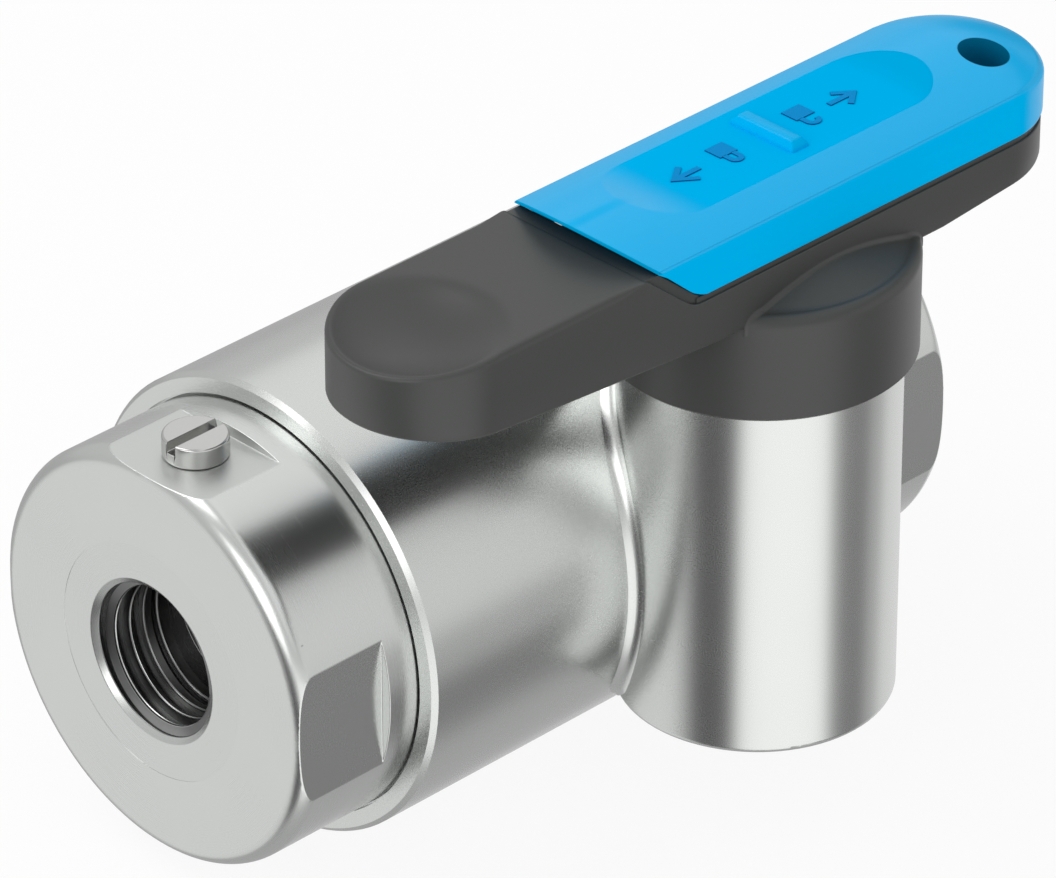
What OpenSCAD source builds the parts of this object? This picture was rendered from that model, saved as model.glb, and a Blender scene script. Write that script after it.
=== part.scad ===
// Manual pinch valve with a quarter-turn lever and a locking slide on the lever.
// Millimetres, +Z up. The origin is the centre of the inlet face, on the flow axis,
// and the flow runs along +X. The lever's shaft stands beside the flow axis, on the -Y side.
// The valve is drawn open: the lever lies along the flow and the slide is unlocked.

/* [Flow line] */
// Length over both cap faces
overall_len = 117; // [110:1:130]
// Thread major diameter of the ports
port_d = 20.955; // [16.5:0.005:24]
// Length of the port thread behind its chamfer
port_depth = 13.5; // [10:0.5:16]
// Distance from the cap face to the first of the port thread
port_lead = 0.7; // [0.4:0.05:0.8]
// Diameter of the chamfer at the port's mouth
port_mouth_d = 22.8; // [22:0.1:26]
// Bore of the sleeve and of the passage through the caps
sleeve_bore = 10; // [8:0.5:10.5]
// Wall of the sleeve
sleeve_wall = 4; // [3:0.25:4.5]
// Thickness of the sleeve's end flanges
sleeve_flange_t = 3; // [2:0.25:4]
// How far the closed valve squeezes the two sleeve walls together
squeeze = 0.2; // [0.1:0.05:0.5]

/* [Caps] */
// Diameter of an end cap
cap_d = 57; // [52:0.5:58]
// Length of a cap outside the body
cap_reach = 19.1; // [17:0.1:22]
// Length of a cap inside the body
cap_spigot = 7; // [6:0.25:7]
// Rounding of the cap's front edge
cap_edge_r = 2.75; // [1:0.25:4]
// Width across the wrench flats
flats_af = 54; // [50:0.5:55]
// Length of the wrench flats
flat_len = 14.3; // [13:0.1:16]
// Diameter of the spot face round the port
spot_face_d = 32.6; // [28:0.2:40]
// Depth of the spot face
spot_face_t = 0.25; // [0.1:0.05:0.5]
// Section diameter of the cap's O-ring
cap_ring_t = 2.4; // [1.6:0.1:3]
// Distance of the screw on the cap's top flat from the cap face
cap_screw_x = 8.5; // [6:0.25:9]
// Thread diameter of that screw
cap_screw_d = 5; // [4:0.5:6]
// Head diameter of that screw
cap_screw_head_d = 8.4; // [7:0.1:9]
// Head height of that screw
cap_screw_head_h = 3; // [2:0.1:4]
// Length of that screw under its head
cap_screw_len = 10; // [6:0.5:12]

/* [Body] */
// Diameter of the body tube
body_d = 63; // [61:0.5:70]
// Chamfer on the rims of the body tube
body_chamfer = 0.65; // [0.3:0.05:1.2]
// Bore of the chamber round the sleeve
chamber_d = 29; // [27:0.5:30]
// Distance of the shaft from the outlet face
shaft_back = 44.5; // [43:0.25:46]
// Distance of the shaft from the flow axis
shaft_y = 35.4; // [35:0.1:37]
// Diameter of the boss round the shaft
boss_d = 36.5; // [36:0.25:38]
// Depth of the boss's closed end below the flow axis
boss_bottom = 18.9; // [18:0.1:22]
// Height of the boss's open end above the flow axis
boss_top = 36; // [34:0.5:37]
// Rounding of the boss's lower edge
boss_edge_r = 1; // [0.5:0.25:2]
// Bore of the boss
cavity_d = 31.5; // [31.25:0.05:32]

/* [Cam and presser] */
// Distance of the presser's back face from the shaft axis when the valve is open
open_lift = 3.6; // [3.4:0.1:3.7]
// Diameter of the shaft's core between the cam's two collars
core_d = 6.8; // [6:0.1:6.8]
// Rounding of the cam's tip
tip_r = 1; // [0.6:0.1:1.2]
// Diameter of the cam's collars
collar_d = 26; // [22:0.5:28]
// Thickness of the upper collar
upper_collar_t = 2.5; // [2:0.25:3]
// Thickness of the lower collar
lower_collar_t = 1.5; // [1:0.25:1.5]
// Diameter of the presser's stem
stem_d = 18; // [17:0.25:18.5]
// Radius of the rounded noses that pinch the sleeve
nose_r = 4; // [3:0.25:5]
// Wall of the bush that guides the presser
guide_wall = 1.5; // [1:0.25:2]
// Width of the key that stops the presser from turning
key_w = 3; // [2:0.25:4]
// Depth of the presser's keyway
key_depth = 2; // [1.5:0.25:2.5]

/* [Shaft] */
// Diameter of the shaft in its upper bush
journal_d = 14; // [12:0.25:14.5]
// Diameter of the shaft in its lower bush
foot_d = 12; // [10:0.25:13]
// Length of the shaft in its lower bush
foot_len = 5; // [4:0.25:5.5]
// Wall of the lower bush
foot_bush_wall = 2.5; // [1.5:0.25:3]
// Width across the square that drives the lever
square_af = 9; // [8:0.25:9.5]
// Wall of the upper bush
bush_wall = 2; // [1.5:0.25:2.25]
// Length of the upper bush
bush_len = 16; // [12:0.5:17]
// Thickness of the thrust washer
thrust_t = 1; // [0.5:0.1:1.5]
// Thickness of the bearing plug's flange
plug_flange_t = 2; // [1.5:0.25:2.5]
// Section diameter of the shaft's O-ring
shaft_ring_t = 1.5; // [1:0.1:1.8]
// Section diameter of the bearing plug's O-ring
plug_ring_t = 2.4; // [1.6:0.1:2.8]

/* [Lock and stop] */
// Thickness of the stop plate
stop_t = 3; // [2.5:0.25:3.5]
// Diameter of the stop plate's rim, where its notches are
stop_d = 29.8; // [29:0.1:30]
// Thread diameter of the screws that hold the stop plate
plate_screw_d = 3; // [2:0.5:3.5]
// Length of those screws below the stop plate
plate_screw_len = 5.5; // [3:0.5:7]
// Travel of the locking slide
lock_travel = 2; // [1.5:0.1:2.1]
// Radial thickness of the lock tongue
tongue_t = 2; // [1.5:0.1:2]
// Width of the lock tongue
tongue_w = 5; // [4:0.25:6]
// Half angle of the lever's stop rib, in degrees
rib_half = 9; // [6:0.5:12]
// Angle of each stop lug, in degrees
lug_angle = 12; // [8:1:16]
// Diameter of the detent ball
ball_d = 4; // [3:0.25:4]

/* [Lever] */
// Width of the lever
lever_w = 24.9; // [24:0.1:26]
// Reach of the long end beyond the shaft axis
long_reach = 70.2; // [66:0.1:74]
// Reach of the short end beyond the shaft axis
short_reach = 45.35; // [44:0.05:48]
// Height of the long end's top
lever_top = 58.7; // [58:0.1:60]
// Height of the ledge under the slide
ledge_z = 51.9; // [51:0.1:52.2]
// Height of the bar's underside at the hub
under_hub = 45; // [44.5:0.1:45.5]
// Height of the bar's underside at the long end's tip
under_tip = 49; // [47:0.1:50]
// Height of the bar's underside at the short end's tip
under_short = 47; // [45.5:0.1:48]
// Distance of the top of the sloped face from the shaft axis
slope_top_x = 33; // [32:0.1:34]
// Distance of the foot of the sloped face from the shaft axis
slope_foot_x = 24.8; // [24:0.1:26]
// Diameter of the hub
hub_d = 40.2; // [40:0.1:42]
// Height of the hub's lower rim
hub_foot = 31.7; // [31:0.1:33]
// Height of the hub's shoulder
hub_top = 46.5; // [46:0.1:47.5]
// Height to which the hub's top rises where it meets the bar's side
hub_peak = 49.2; // [48.5:0.1:50.5]
// Rounding of the hub's shoulder
hub_edge_r = 1.5; // [0.5:0.25:2]
// Wall of the hub's skirt
skirt_wall = 1.6; // [1.2:0.1:1.7]
// Radius of the thumb hollow in the long end
hollow_r = 25; // [20:1:40]
// Depth of the thumb hollow
hollow_depth = 3; // [1.5:0.25:3.5]
// Wall of the lever round the pockets in its underside
lever_wall = 2.4; // [2:0.1:3]
// Thickness of the ribs between those pockets
lever_rib = 1.6; // [1.2:0.1:2.5]
// Diameter of the lever screw's thread
lever_screw_d = 5; // [4:0.5:6]
// Diameter of the lever screw's head
lever_screw_head_d = 8.5; // [7.5:0.25:9.5]
// Length of the lever screw under its head
lever_screw_len = 14; // [10:0.5:18]
// Height of the lever screw's head
lever_screw_head_h = 3.3; // [2.5:0.1:3.5]
// Diameter of the washer under it
lever_washer_d = 13; // [11:0.5:13]
// Thickness of the washer under it
lever_washer_t = 1.2; // [0.8:0.1:1.5]

/* [Locking slide] */
// How far the slide stands out beyond the lever's side
slide_proud = 0.2; // [0:0.05:0.4]
// Height of the slide's lower rim above the lever's ledge
slide_gap = 1; // [0.8:0.1:1.2]
// Height of the slide's side edges above the flow axis
slide_edge_z = 59.1; // [58.5:0.1:60]
// Rise of the slide's crown above its side edges
crown_rise = 2.9; // [2.5:0.1:3.2]
// Radius of the ends of the finger recess
recess_r = 7.7; // [7.6:0.1:8]
// Distance of those ends' centres from the recess's middle
recess_half = 18.8; // [18:0.1:19]
// Distance of the recess's middle from the shaft axis, towards the nose
recess_x = 1; // [0:0.1:1.5]
// Depth of the finger recess
recess_depth = 1; // [0.6:0.1:1.3]
// Length of the rib across the finger recess
grip_len = 12; // [9:0.25:13]
// Width of that rib
grip_w = 3; // [2:0.1:4]
// Diameter of the padlock hole
padlock_d = 6.6; // [5:0.1:7.5]
// Distance of the padlock hole from the shaft axis
padlock_x = 35.1; // [34.9:0.1:36]
// Distance of the padlock hole from the slide's centre line, away from the flow axis
padlock_y = 4.6; // [0:0.1:5]
// Half width of the rail's neck on the lever
rail_neck = 8; // [7.5:0.1:8.5]
// Half width of the rail's head
rail_head = 9.3; // [9:0.1:9.5]
// Height of the rail's neck above the ledge
rail_neck_h = 2.7; // [2.5:0.1:3]
// Thickness of the rail's head
rail_head_t = 1.6; // [1.2:0.1:1.8]

/* [Fits] */
// Radial clearance of a running fit
run_fit = 0.05; // [0.02:0.01:0.08]
// Radial clearance of the caps and the plug in their bores
seat_fit = 0.05; // [0.02:0.01:0.1]
// Clearance between parts that pass each other without guiding
pass_fit = 0.3; // [0.2:0.05:0.4]
// Gap between flat faces that slide on each other
face_fit = 0.1; // [0.05:0.05:0.15]
// Angular clearance at the lever's stops, in degrees
stop_fit = 0.3; // [0.2:0.1:1]

/* [Hidden] */
$fn = 96;
eps = 0.01;
far = 200;

steel = "lightsteelblue";
dark = "dimgray";
blue = "deepskyblue";
bronze = "peru";
soft = "darkslategray";

quarter = 90;
shaft_x = overall_len - shaft_back;
cap_r = cap_d / 2;
body_r = body_d / 2;
port_r = port_d / 2;
chamber_r = chamber_d / 2;
cavity_r = cavity_d / 2;
passage_r = sleeve_bore / 2;
sleeve_r = passage_r + sleeve_wall;
stem_r = stem_d / 2;
journal_r = journal_d / 2;
stop_r = stop_d / 2;
hub_r = hub_d / 2;
skirt_r = hub_r - skirt_wall;

// Stations along the flow axis
body_x1 = overall_len - cap_reach;
seat_depth = cap_spigot + sleeve_flange_t;
chamber_x0 = cap_reach + seat_depth;
chamber_x1 = overall_len - chamber_x0;
spigot_end = cap_reach + cap_spigot;
mouth_gap = 0.3;
mouth_len = 1;

// An involute cam on a flat face lifts it by its base radius for each radian of turn
travel = sleeve_bore + squeeze + face_fit * 2;
base_r = travel / (quarter * PI / 180);
turn_open = open_lift / base_r;
turn_shut = (open_lift + travel) / base_r;
cam_steps = 28;

// Stations up the shaft
cam_half = stem_r + pass_fit;
collar_z = cam_half + upper_collar_t;
washer_z = collar_z + face_fit;
plug_z = washer_z + thrust_t + face_fit;
foot_z = -cam_half - lower_collar_t;
foot_end = foot_z - foot_len;
floor_z = foot_z - face_fit;
stop_z = boss_top + plug_flange_t;
stop_top = stop_z + stop_t;
plate_head_d = plate_screw_d * 1.8;
plate_head_h = plate_screw_d * 0.55;
web_z = stop_top + 1.5;
shoulder_z = web_z - face_fit;
washer_seat = web_z + 5.5;
shaft_end = washer_seat - pass_fit;

// The presser between the cam and the sleeve, and the anvil behind the sleeve
presser_back = -shaft_y + open_lift + run_fit;
nose_y = sleeve_r + face_fit;
guide_r = stem_r + guide_wall;
guide_y0 = -shaft_y + cavity_r + 0.05;
guide_y1 = -nose_y - 2.4;
support_len = chamber_x1 - shaft_x - guide_r - pass_fit;
flange_r = cap_r - pass_fit;
anvil_pin_r = 2;
pin_y0 = nose_y + 2.4;
pin_y1 = chamber_r + 4.8;

// The lever and the slide, measured from the shaft axis
lever_r = lever_w / 2;
short_c = short_reach - lever_r;
long_c = lever_r - long_reach;
slide_r = lever_r + slide_proud;
slide_z = ledge_z + slide_gap;
slide_top = slide_edge_z + crown_rise;
lip_top = ledge_z + rail_neck_h - face_fit * 2;
rail_top = ledge_z + rail_neck_h + rail_head_t;
pad_half = lever_r - 0.45;
pad_z = lever_top - 0.25;
visor_fit = 0.15;
pad_lean = (slope_top_x - slope_foot_x) / (lever_top - ledge_z);
pad_run = 1.6;
pad_x = pad_run - slope_top_x + pad_lean * (lever_top - pad_z);
slot_top = rail_top + pass_fit;
rail_x0 = -20.5;
rail_x1 = 28.5;
tongue_x = stop_r + pass_fit;
tongue_foot = stop_z + pass_fit;
tongue_top = slot_top + 2.1;
tongue_pin_r = 0.75;
screw_pocket_r = lever_washer_d / 2 + pass_fit * 2;
ball_x = -14;
ball_r = ball_d / 2;

// A cylinder along X between two stations
module along_x(r, x0, x1) {
    translate([x0, 0, 0]) rotate([0, 90, 0]) cylinder(r = r, h = x1 - x0);
}

// A cylinder along Y at the shaft's station
module along_y(r, y0, y1) {
    translate([shaft_x, y0, 0]) rotate([-90, 0, 0]) cylinder(r = r, h = y1 - y0);
}

// A cylinder or tube round the shaft axis
module upright(r, z0, z1, bore = 0) {
    translate([shaft_x, -shaft_y, z0]) difference() {
        cylinder(r = r, h = z1 - z0);
        if (bore > 0) translate([0, 0, -1]) cylinder(r = bore, h = z1 - z0 + 2);
    }
}

// What follows is placed on the shaft axis
module at_shaft() {
    translate([shaft_x, -shaft_y, 0]) children();
}

// A ring of round section round the X axis or the shaft axis
module o_ring(r, t) {
    rotate_extrude() translate([r, 0]) circle(d = t, $fn = 32);
}

// A revolved solid about X, from a profile of radius across and station up
module turned_x() {
    rotate([0, 90, 0]) rotate_extrude() children();
}

// The outlet side is the inlet side mirrored about the middle of the valve
module outlet_side() {
    translate([overall_len, 0, 0]) mirror([1, 0, 0]) children();
}

// End cap: rounded front edge, threaded port, spot face, three flats, O-ring groove
module cap() {
    port_end = port_lead + port_depth;
    ring_floor = cap_r - cap_ring_t - seat_fit * 2;
    ring_x = cap_reach + cap_spigot / 2;
    difference() {
        turned_x() difference() {
            union() {
                square([cap_r - cap_edge_r, spigot_end]);
                translate([0, cap_edge_r]) square([cap_r, spigot_end - cap_edge_r]);
                translate([cap_r - cap_edge_r, cap_edge_r]) circle(r = cap_edge_r);
            }
            square([passage_r, spigot_end + 1]);
            translate([0, -1]) square([port_r, port_end + 1]);
            translate([0, -1]) square([spot_face_d / 2, spot_face_t + 1]);
            polygon([[0, -1], [port_mouth_d / 2, -1], [port_mouth_d / 2, spot_face_t],
                [port_r, port_lead], [0, port_lead]]);
            translate([ring_floor, ring_x - cap_ring_t * 0.65])
                square([cap_ring_t * 2, cap_ring_t * 1.3]);
        }
        for (a = [-quarter, 0, quarter]) rotate([a, 0, 0])
            translate([-1, -cap_r, flats_af / 2]) cube([flat_len + 1, cap_d, cap_r]);
    }
}

module cap_ring() {
    translate([cap_reach + cap_spigot / 2, 0, 0]) rotate([0, 90, 0])
        o_ring(cap_r - cap_ring_t / 2 - seat_fit, cap_ring_t);
}

module support_ring() {
    difference() {
        along_x(chamber_r - seat_fit, chamber_x0, chamber_x0 + support_len);
        along_x(sleeve_r + seat_fit, chamber_x0 - 1, chamber_x0 + support_len + 1);
    }
}

module inlet_cap() {
    color(steel) difference() {
        cap();
        translate([cap_screw_x, 0, flats_af / 2 - cap_screw_len - 1])
            cylinder(d = cap_screw_d + run_fit * 2, h = far);
    }
}

module outlet_cap() { color(steel) outlet_side() cap(); }
module inlet_o_ring() { color(soft) cap_ring(); }
module outlet_o_ring() { color(soft) outlet_side() cap_ring(); }
module inlet_support_ring() { color(bronze) support_ring(); }
module outlet_support_ring() { color(bronze) outlet_side() support_ring(); }

// Slotted cheese-head screw in the inlet cap's top flat
module cap_screw() {
    color(steel) translate([cap_screw_x, 0, flats_af / 2]) difference() {
        union() {
            cylinder(d = cap_screw_head_d, h = cap_screw_head_h);
            translate([0, 0, -cap_screw_len]) cylinder(d = cap_screw_d, h = cap_screw_len + eps);
        }
        translate([-cap_screw_head_d, -0.6, cap_screw_head_h - 1.3])
            cube([cap_screw_head_d * 2, 1.2, 2]);
    }
}

// Body: a tube for the sleeve with an upright boss for the shaft on its side
module valve_body() {
    inner_len = body_x1 - cap_reach;
    color(steel) difference() {
        union() {
            translate([cap_reach, 0, 0]) turned_x() polygon([[0, 0], [body_r - body_chamfer, 0],
                [body_r, body_chamfer], [body_r, inner_len - body_chamfer],
                [body_r - body_chamfer, inner_len], [0, inner_len]]);
            at_shaft() rotate_extrude() union() {
                translate([0, -boss_bottom]) square([boss_d / 2 - boss_edge_r, boss_edge_r]);
                translate([0, boss_edge_r - boss_bottom])
                    square([boss_d / 2, boss_top + boss_bottom - boss_edge_r]);
                translate([boss_d / 2 - boss_edge_r, boss_edge_r - boss_bottom])
                    circle(r = boss_edge_r);
            }
        }
        along_x(chamber_r, cap_reach, body_x1);
        along_x(cap_r + seat_fit, cap_reach - 1, chamber_x0);
        along_x(cap_r + seat_fit, chamber_x1, body_x1 + 1);
        along_x(cap_r + mouth_gap, cap_reach - 1, cap_reach + mouth_len);
        along_x(cap_r + mouth_gap, body_x1 - mouth_len, body_x1 + 1);
        upright(cavity_r, floor_z, boss_top + 1);
        upright(foot_d / 2 + foot_bush_wall, foot_end - face_fit, 0);
        along_y(guide_r, -shaft_y, 0);
        along_y(anvil_pin_r, 0, pin_y1 + face_fit);
    }
}

// Sleeve: an elastomer tube with a flange at each end, held between cap and body
module sleeve() {
    color(soft) difference() {
        union() {
            along_x(sleeve_r, spigot_end, overall_len - spigot_end);
            along_x(flange_r, spigot_end, chamber_x0);
            along_x(flange_r, chamber_x1, overall_len - spigot_end);
        }
        along_x(passage_r, 0, overall_len);
    }
}

// A block in plan that narrows to a rounded nose, which points towards -Y
module nose_plan(tip, back) {
    polygon([[-stem_r, back], [-stem_r, tip + nose_r * 2], [-nose_r, tip + nose_r],
        [nose_r, tip + nose_r], [stem_r, tip + nose_r * 2], [stem_r, back]]);
    translate([0, tip + nose_r]) circle(r = nose_r);
}

// Fixed saddle behind the sleeve, bedded on the chamber's wall
module anvil() {
    color(steel) difference() {
        intersection() {
            translate([shaft_x, 0, -stem_r]) linear_extrude(stem_d)
                nose_plan(nose_y, chamber_r * 2);
            along_x(chamber_r - seat_fit, 0, overall_len);
        }
        along_y(anvil_pin_r, pin_y0 - face_fit, chamber_r);
    }
}

module anvil_pin() { color(steel) along_y(anvil_pin_r - run_fit, pin_y0, pin_y1); }

// Presser: a keyed round stem with a wedge nose that runs in the guide bush
module presser() {
    stem_len = -nose_y - presser_back;
    color(steel) difference() {
        intersection() {
            along_y(stem_r, presser_back, 0);
            translate([shaft_x, 0, -stem_r]) linear_extrude(stem_d)
                mirror([0, 1]) nose_plan(nose_y, -presser_back);
        }
        translate([shaft_x - key_w / 2 - run_fit, presser_back - 1, -stem_r - 1])
            cube([key_w + run_fit * 2, stem_len + 2, key_depth + 1]);
    }
}

module guide_key() {
    key_z = -stem_r + key_depth - face_fit;
    color(steel) translate([shaft_x - key_w / 2, guide_y0, -guide_r + 0.4])
        cube([key_w, guide_y1 - guide_y0, key_z + guide_r - 0.4]);
}

module guide_bush() {
    color(bronze) difference() {
        along_y(guide_r, guide_y0, guide_y1);
        along_y(stem_r + run_fit, guide_y0 - 1, guide_y1 + 1);
        translate([shaft_x - key_w / 2, guide_y0 - 1, -guide_r + 0.4])
            cube([key_w, guide_y1 - guide_y0 + 2, guide_r]);
    }
}

// A point of the involute, and the arc that closes the cam's tip, before the cam is turned
function involute(t) = let (a = t * 180 / PI)
    base_r * [cos(a) + t * sin(a), sin(a) - t * cos(a)];
function tip_arc(a) = let (end = turn_shut * 180 / PI, u = [sin(end), -cos(end)])
    involute(turn_shut) - tip_r * u
    + tip_r * [sin(end + a), -cos(end + a)];

// Cam in plan: the involute flank, the rounded tip, and a back that runs to the core
module cam_plan() {
    flank = [for (i = [0 : cam_steps]) involute(turn_open + (turn_shut - turn_open) * i / cam_steps)];
    tip = [for (a = [15 : 15 : 150]) tip_arc(a)];
    start = turn_open * 180 / PI;
    across = [sin(start), -cos(start)];
    along = [cos(start), sin(start)];
    heel = [open_lift * across, -core_d / 2 * across - core_d / 4 * along];
    rotate(180 - start) {
        polygon(concat([heel[0]], flank, tip, [heel[1]]));
        circle(d = core_d);
    }
}

// Shaft with the cam between two collars, and the square that carries the lever
module cam_shaft() {
    ring_z = stop_z - 5;
    color(steel) at_shaft() difference() {
        union() {
            translate([0, 0, -cam_half]) linear_extrude(cam_half * 2) cam_plan();
            translate([0, 0, foot_end]) cylinder(d = foot_d, h = foot_len + eps);
            translate([0, 0, foot_z]) cylinder(d = collar_d, h = lower_collar_t);
            translate([0, 0, cam_half]) cylinder(d = collar_d, h = upper_collar_t);
            translate([0, 0, collar_z - eps]) cylinder(d = journal_d, h = shoulder_z - collar_z + eps);
            translate([-square_af / 2, -square_af / 2, shoulder_z - eps])
                cube([square_af, square_af, shaft_end - shoulder_z + eps]);
        }
        translate([0, 0, ring_z - shaft_ring_t * 0.65]) difference() {
            cylinder(r = journal_r + 1, h = shaft_ring_t * 1.3);
            translate([0, 0, -1]) cylinder(r = journal_r - shaft_ring_t, h = shaft_ring_t * 2 + 2);
        }
        translate([0, 0, washer_seat + lever_washer_t - lever_screw_len - pass_fit])
            cylinder(d = lever_screw_d + run_fit * 2, h = far);
    }
}

module shaft_o_ring() {
    color(soft) at_shaft() translate([0, 0, stop_z - 5])
        o_ring(journal_r - shaft_ring_t / 2 + run_fit / 2, shaft_ring_t - run_fit);
}

module lower_bush() {
    color(bronze) upright(foot_d / 2 + foot_bush_wall, foot_end - face_fit, floor_z,
        foot_d / 2 + run_fit);
}

module thrust_washer() {
    color(bronze) upright(collar_d / 2, washer_z, washer_z + thrust_t, journal_r + pass_fit);
}

// Plug that closes the boss and carries the upper bush
module bearing_plug() {
    ring_z = plug_z + 5;
    bush_r = journal_r + bush_wall;
    color(steel) at_shaft() difference() {
        union() {
            translate([0, 0, plug_z]) cylinder(r = cavity_r - seat_fit, h = boss_top - plug_z + eps);
            translate([0, 0, boss_top]) cylinder(r = boss_d / 2 - 0.3, h = plug_flange_t);
        }
        translate([0, 0, plug_z - 1]) cylinder(r = bush_r, h = bush_len + 1);
        translate([0, 0, plug_z]) cylinder(r = journal_r + run_fit * 2, h = far);
        translate([0, 0, ring_z - plug_ring_t * 0.65]) difference() {
            cylinder(r = cavity_r + 1, h = plug_ring_t * 1.3);
            translate([0, 0, -1])
                cylinder(r = cavity_r - plug_ring_t - seat_fit * 2, h = plug_ring_t * 2 + 2);
        }
        plate_screw_places() translate([0, 0, stop_z - plate_screw_len - pass_fit])
            cylinder(d = plate_screw_d + run_fit * 2, h = far);
    }
}

module plug_o_ring() {
    color(soft) at_shaft() translate([0, 0, plug_z + 5])
        o_ring(cavity_r - plug_ring_t / 2 - seat_fit, plug_ring_t);
}

module upper_bush() {
    color(bronze) upright(journal_r + bush_wall, plug_z, plug_z + bush_len, journal_r + run_fit);
}

// The sector of a ring between two angles, from a radius outwards
module sector(r0, r1, a0, a1, h) {
    linear_extrude(h) difference() {
        intersection() {
            circle(r = r1);
            polygon([[0, 0], far * [cos(a0), sin(a0)], far * [cos(a1), sin(a1)]]);
        }
        circle(r = r0);
    }
}

module plate_screw_places() {
    for (a = [50, 145, 225]) rotate(a) translate([(stop_r + journal_r) / 2, 0, 0]) children();
}

// Stop plate: two notches for the lock tongue, two lugs that end the quarter turn
module stop_plate() {
    low = quarter - rib_half - stop_fit;
    high = 180 + rib_half + stop_fit;
    color(steel) at_shaft() translate([0, 0, stop_z]) difference() {
        union() {
            cylinder(r = stop_r, h = stop_t);
            sector(journal_r + 2, boss_d / 2 - 0.1, low - lug_angle, low, stop_t);
            sector(journal_r + 2, boss_d / 2 - 0.1, high, high + lug_angle, stop_t);
        }
        translate([0, 0, -1]) cylinder(r = journal_r + pass_fit, h = stop_t + 2);
        for (a = [0, -quarter]) rotate(a)
            translate([stop_r - lock_travel + pass_fit / 2, -tongue_w / 2 - 0.2, -1])
                cube([far, tongue_w + 0.4, stop_t + 2]);
        plate_screw_places() {
            translate([0, 0, -1]) cylinder(d = plate_screw_d + run_fit * 2, h = far);
            translate([0, 0, stop_t - plate_head_h - face_fit])
                cylinder(d = plate_head_d + run_fit * 2, h = far);
        }
    }
}

module plate_screws() {
    color(steel) at_shaft() plate_screw_places() {
        translate([0, 0, stop_z - plate_screw_len])
            cylinder(d = plate_screw_d, h = plate_screw_len + stop_t - plate_head_h);
        translate([0, 0, stop_top - plate_head_h - face_fit])
            cylinder(d = plate_head_d, h = plate_head_h);
    }
}

// Straight sides with a round end at each given station, drawn in plan
module bar_plan(r, x0, x1) {
    translate([x0, -r]) square([x1 - x0, r * 2]);
    translate([x0, 0]) circle(r = r);
    translate([x1, 0]) circle(r = r);
}

// A side view drawn in X and Z, as wide as asked
module side_view(half) {
    translate([0, half, 0]) rotate([90, 0, 0]) linear_extrude(half * 2) children();
}

// The pockets that keep the lever's long arm at an even wall, open below
module arm_pockets() {
    rows = 4;
    first = long_c + 1;
    last = -hub_r - lever_wall;
    pitch = (last - first + lever_rib) / rows;
    half = lever_r - lever_wall;
    for (i = [0 : rows - 1]) for (side = [0, 1])
        translate([first + pitch * i, side * (half + lever_rib / 2) - half, 0])
            cube([pitch - lever_rib, half - lever_rib / 2, lever_top - hollow_depth - 3]);
}

// Lever: long arm, hub with a skirt over the boss, and a rail for the slide
module lever() {
    tip = -long_reach;
    color(dark) at_shaft() difference() {
        union() {
            intersection() {
                side_view(lever_r + 1) polygon([[tip - 1, under_tip], [-hub_r, under_hub],
                    [hub_r, under_hub], [short_reach + 1, under_short], [short_reach + 1, ledge_z],
                    [-slope_foot_x, ledge_z], [-slope_top_x, lever_top], [tip - 1, lever_top]]);
                linear_extrude(far) bar_plan(lever_r, long_c, short_c);
            }
            translate([0, 0, ledge_z - eps]) linear_extrude(slide_gap - face_fit * 1.5 + eps) {
                bar_plan(lever_r - 0.45, 0, short_c);
                translate([-slope_foot_x, 0.45 - lever_r]) square([slope_foot_x, lever_w - 0.9]);
            }
            side_view(pad_half) polygon([[-slope_foot_x, ledge_z - 1], [-slope_foot_x, ledge_z],
                [pad_x - pad_run, pad_z], [pad_x, pad_z],
                [pad_x + pad_lean * (pad_z - ledge_z + 1), ledge_z - 1]]);
            translate([rail_x0, -rail_neck, ledge_z])
                cube([rail_x1 - rail_x0, rail_neck * 2, rail_neck_h + eps]);
            translate([rail_x0, -rail_head, ledge_z + rail_neck_h])
                cube([rail_x1 - rail_x0, rail_head * 2, rail_head_t]);
            rotate_extrude() {
                polygon([[0, 0], [hub_r - hub_edge_r, 0], [hub_r - hub_edge_r, hub_top],
                    [lever_r, hub_peak], [0, hub_peak]]);
                square([hub_r, hub_top - hub_edge_r]);
                translate([hub_r - hub_edge_r, hub_top - hub_edge_r]) circle(r = hub_edge_r);
            }
        }
        translate([0, 0, -1]) cylinder(r = hub_r + 1, h = hub_foot + 1);
        difference() {
            translate([0, 0, hub_foot - 1]) cylinder(r = skirt_r, h = web_z - hub_foot + 1);
            translate([0, 0, stop_z + pass_fit])
                sector(stop_r + pass_fit, skirt_r + 1, 180 - rib_half, 180 + rib_half, far);
        }
        translate([0, 0, web_z]) translate([-square_af / 2 - run_fit, -square_af / 2 - run_fit, -1])
            cube([square_af + run_fit * 2, square_af + run_fit * 2, far]);
        translate([0, 0, washer_seat]) cylinder(r = screw_pocket_r, h = far);
        translate([tongue_x - lock_travel - pass_fit, -tongue_w / 2 - pass_fit, web_z - 1])
            cube([tongue_t + lock_travel + pass_fit * 2, tongue_w + pass_fit * 2, far]);
        translate([ball_x, 0, rail_top - 9]) cylinder(r = ball_r + run_fit, h = far);
        translate([padlock_x - lock_travel, -padlock_y, 0]) cylinder(d = padlock_d, h = far);
        arm_pockets();
        translate([long_c, 0, lever_top + hollow_r - hollow_depth]) sphere(r = hollow_r);
    }
}

module lever_washer() {
    color(steel) upright(lever_washer_d / 2, washer_seat, washer_seat + lever_washer_t,
        lever_screw_d / 2 + run_fit);
}

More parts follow.
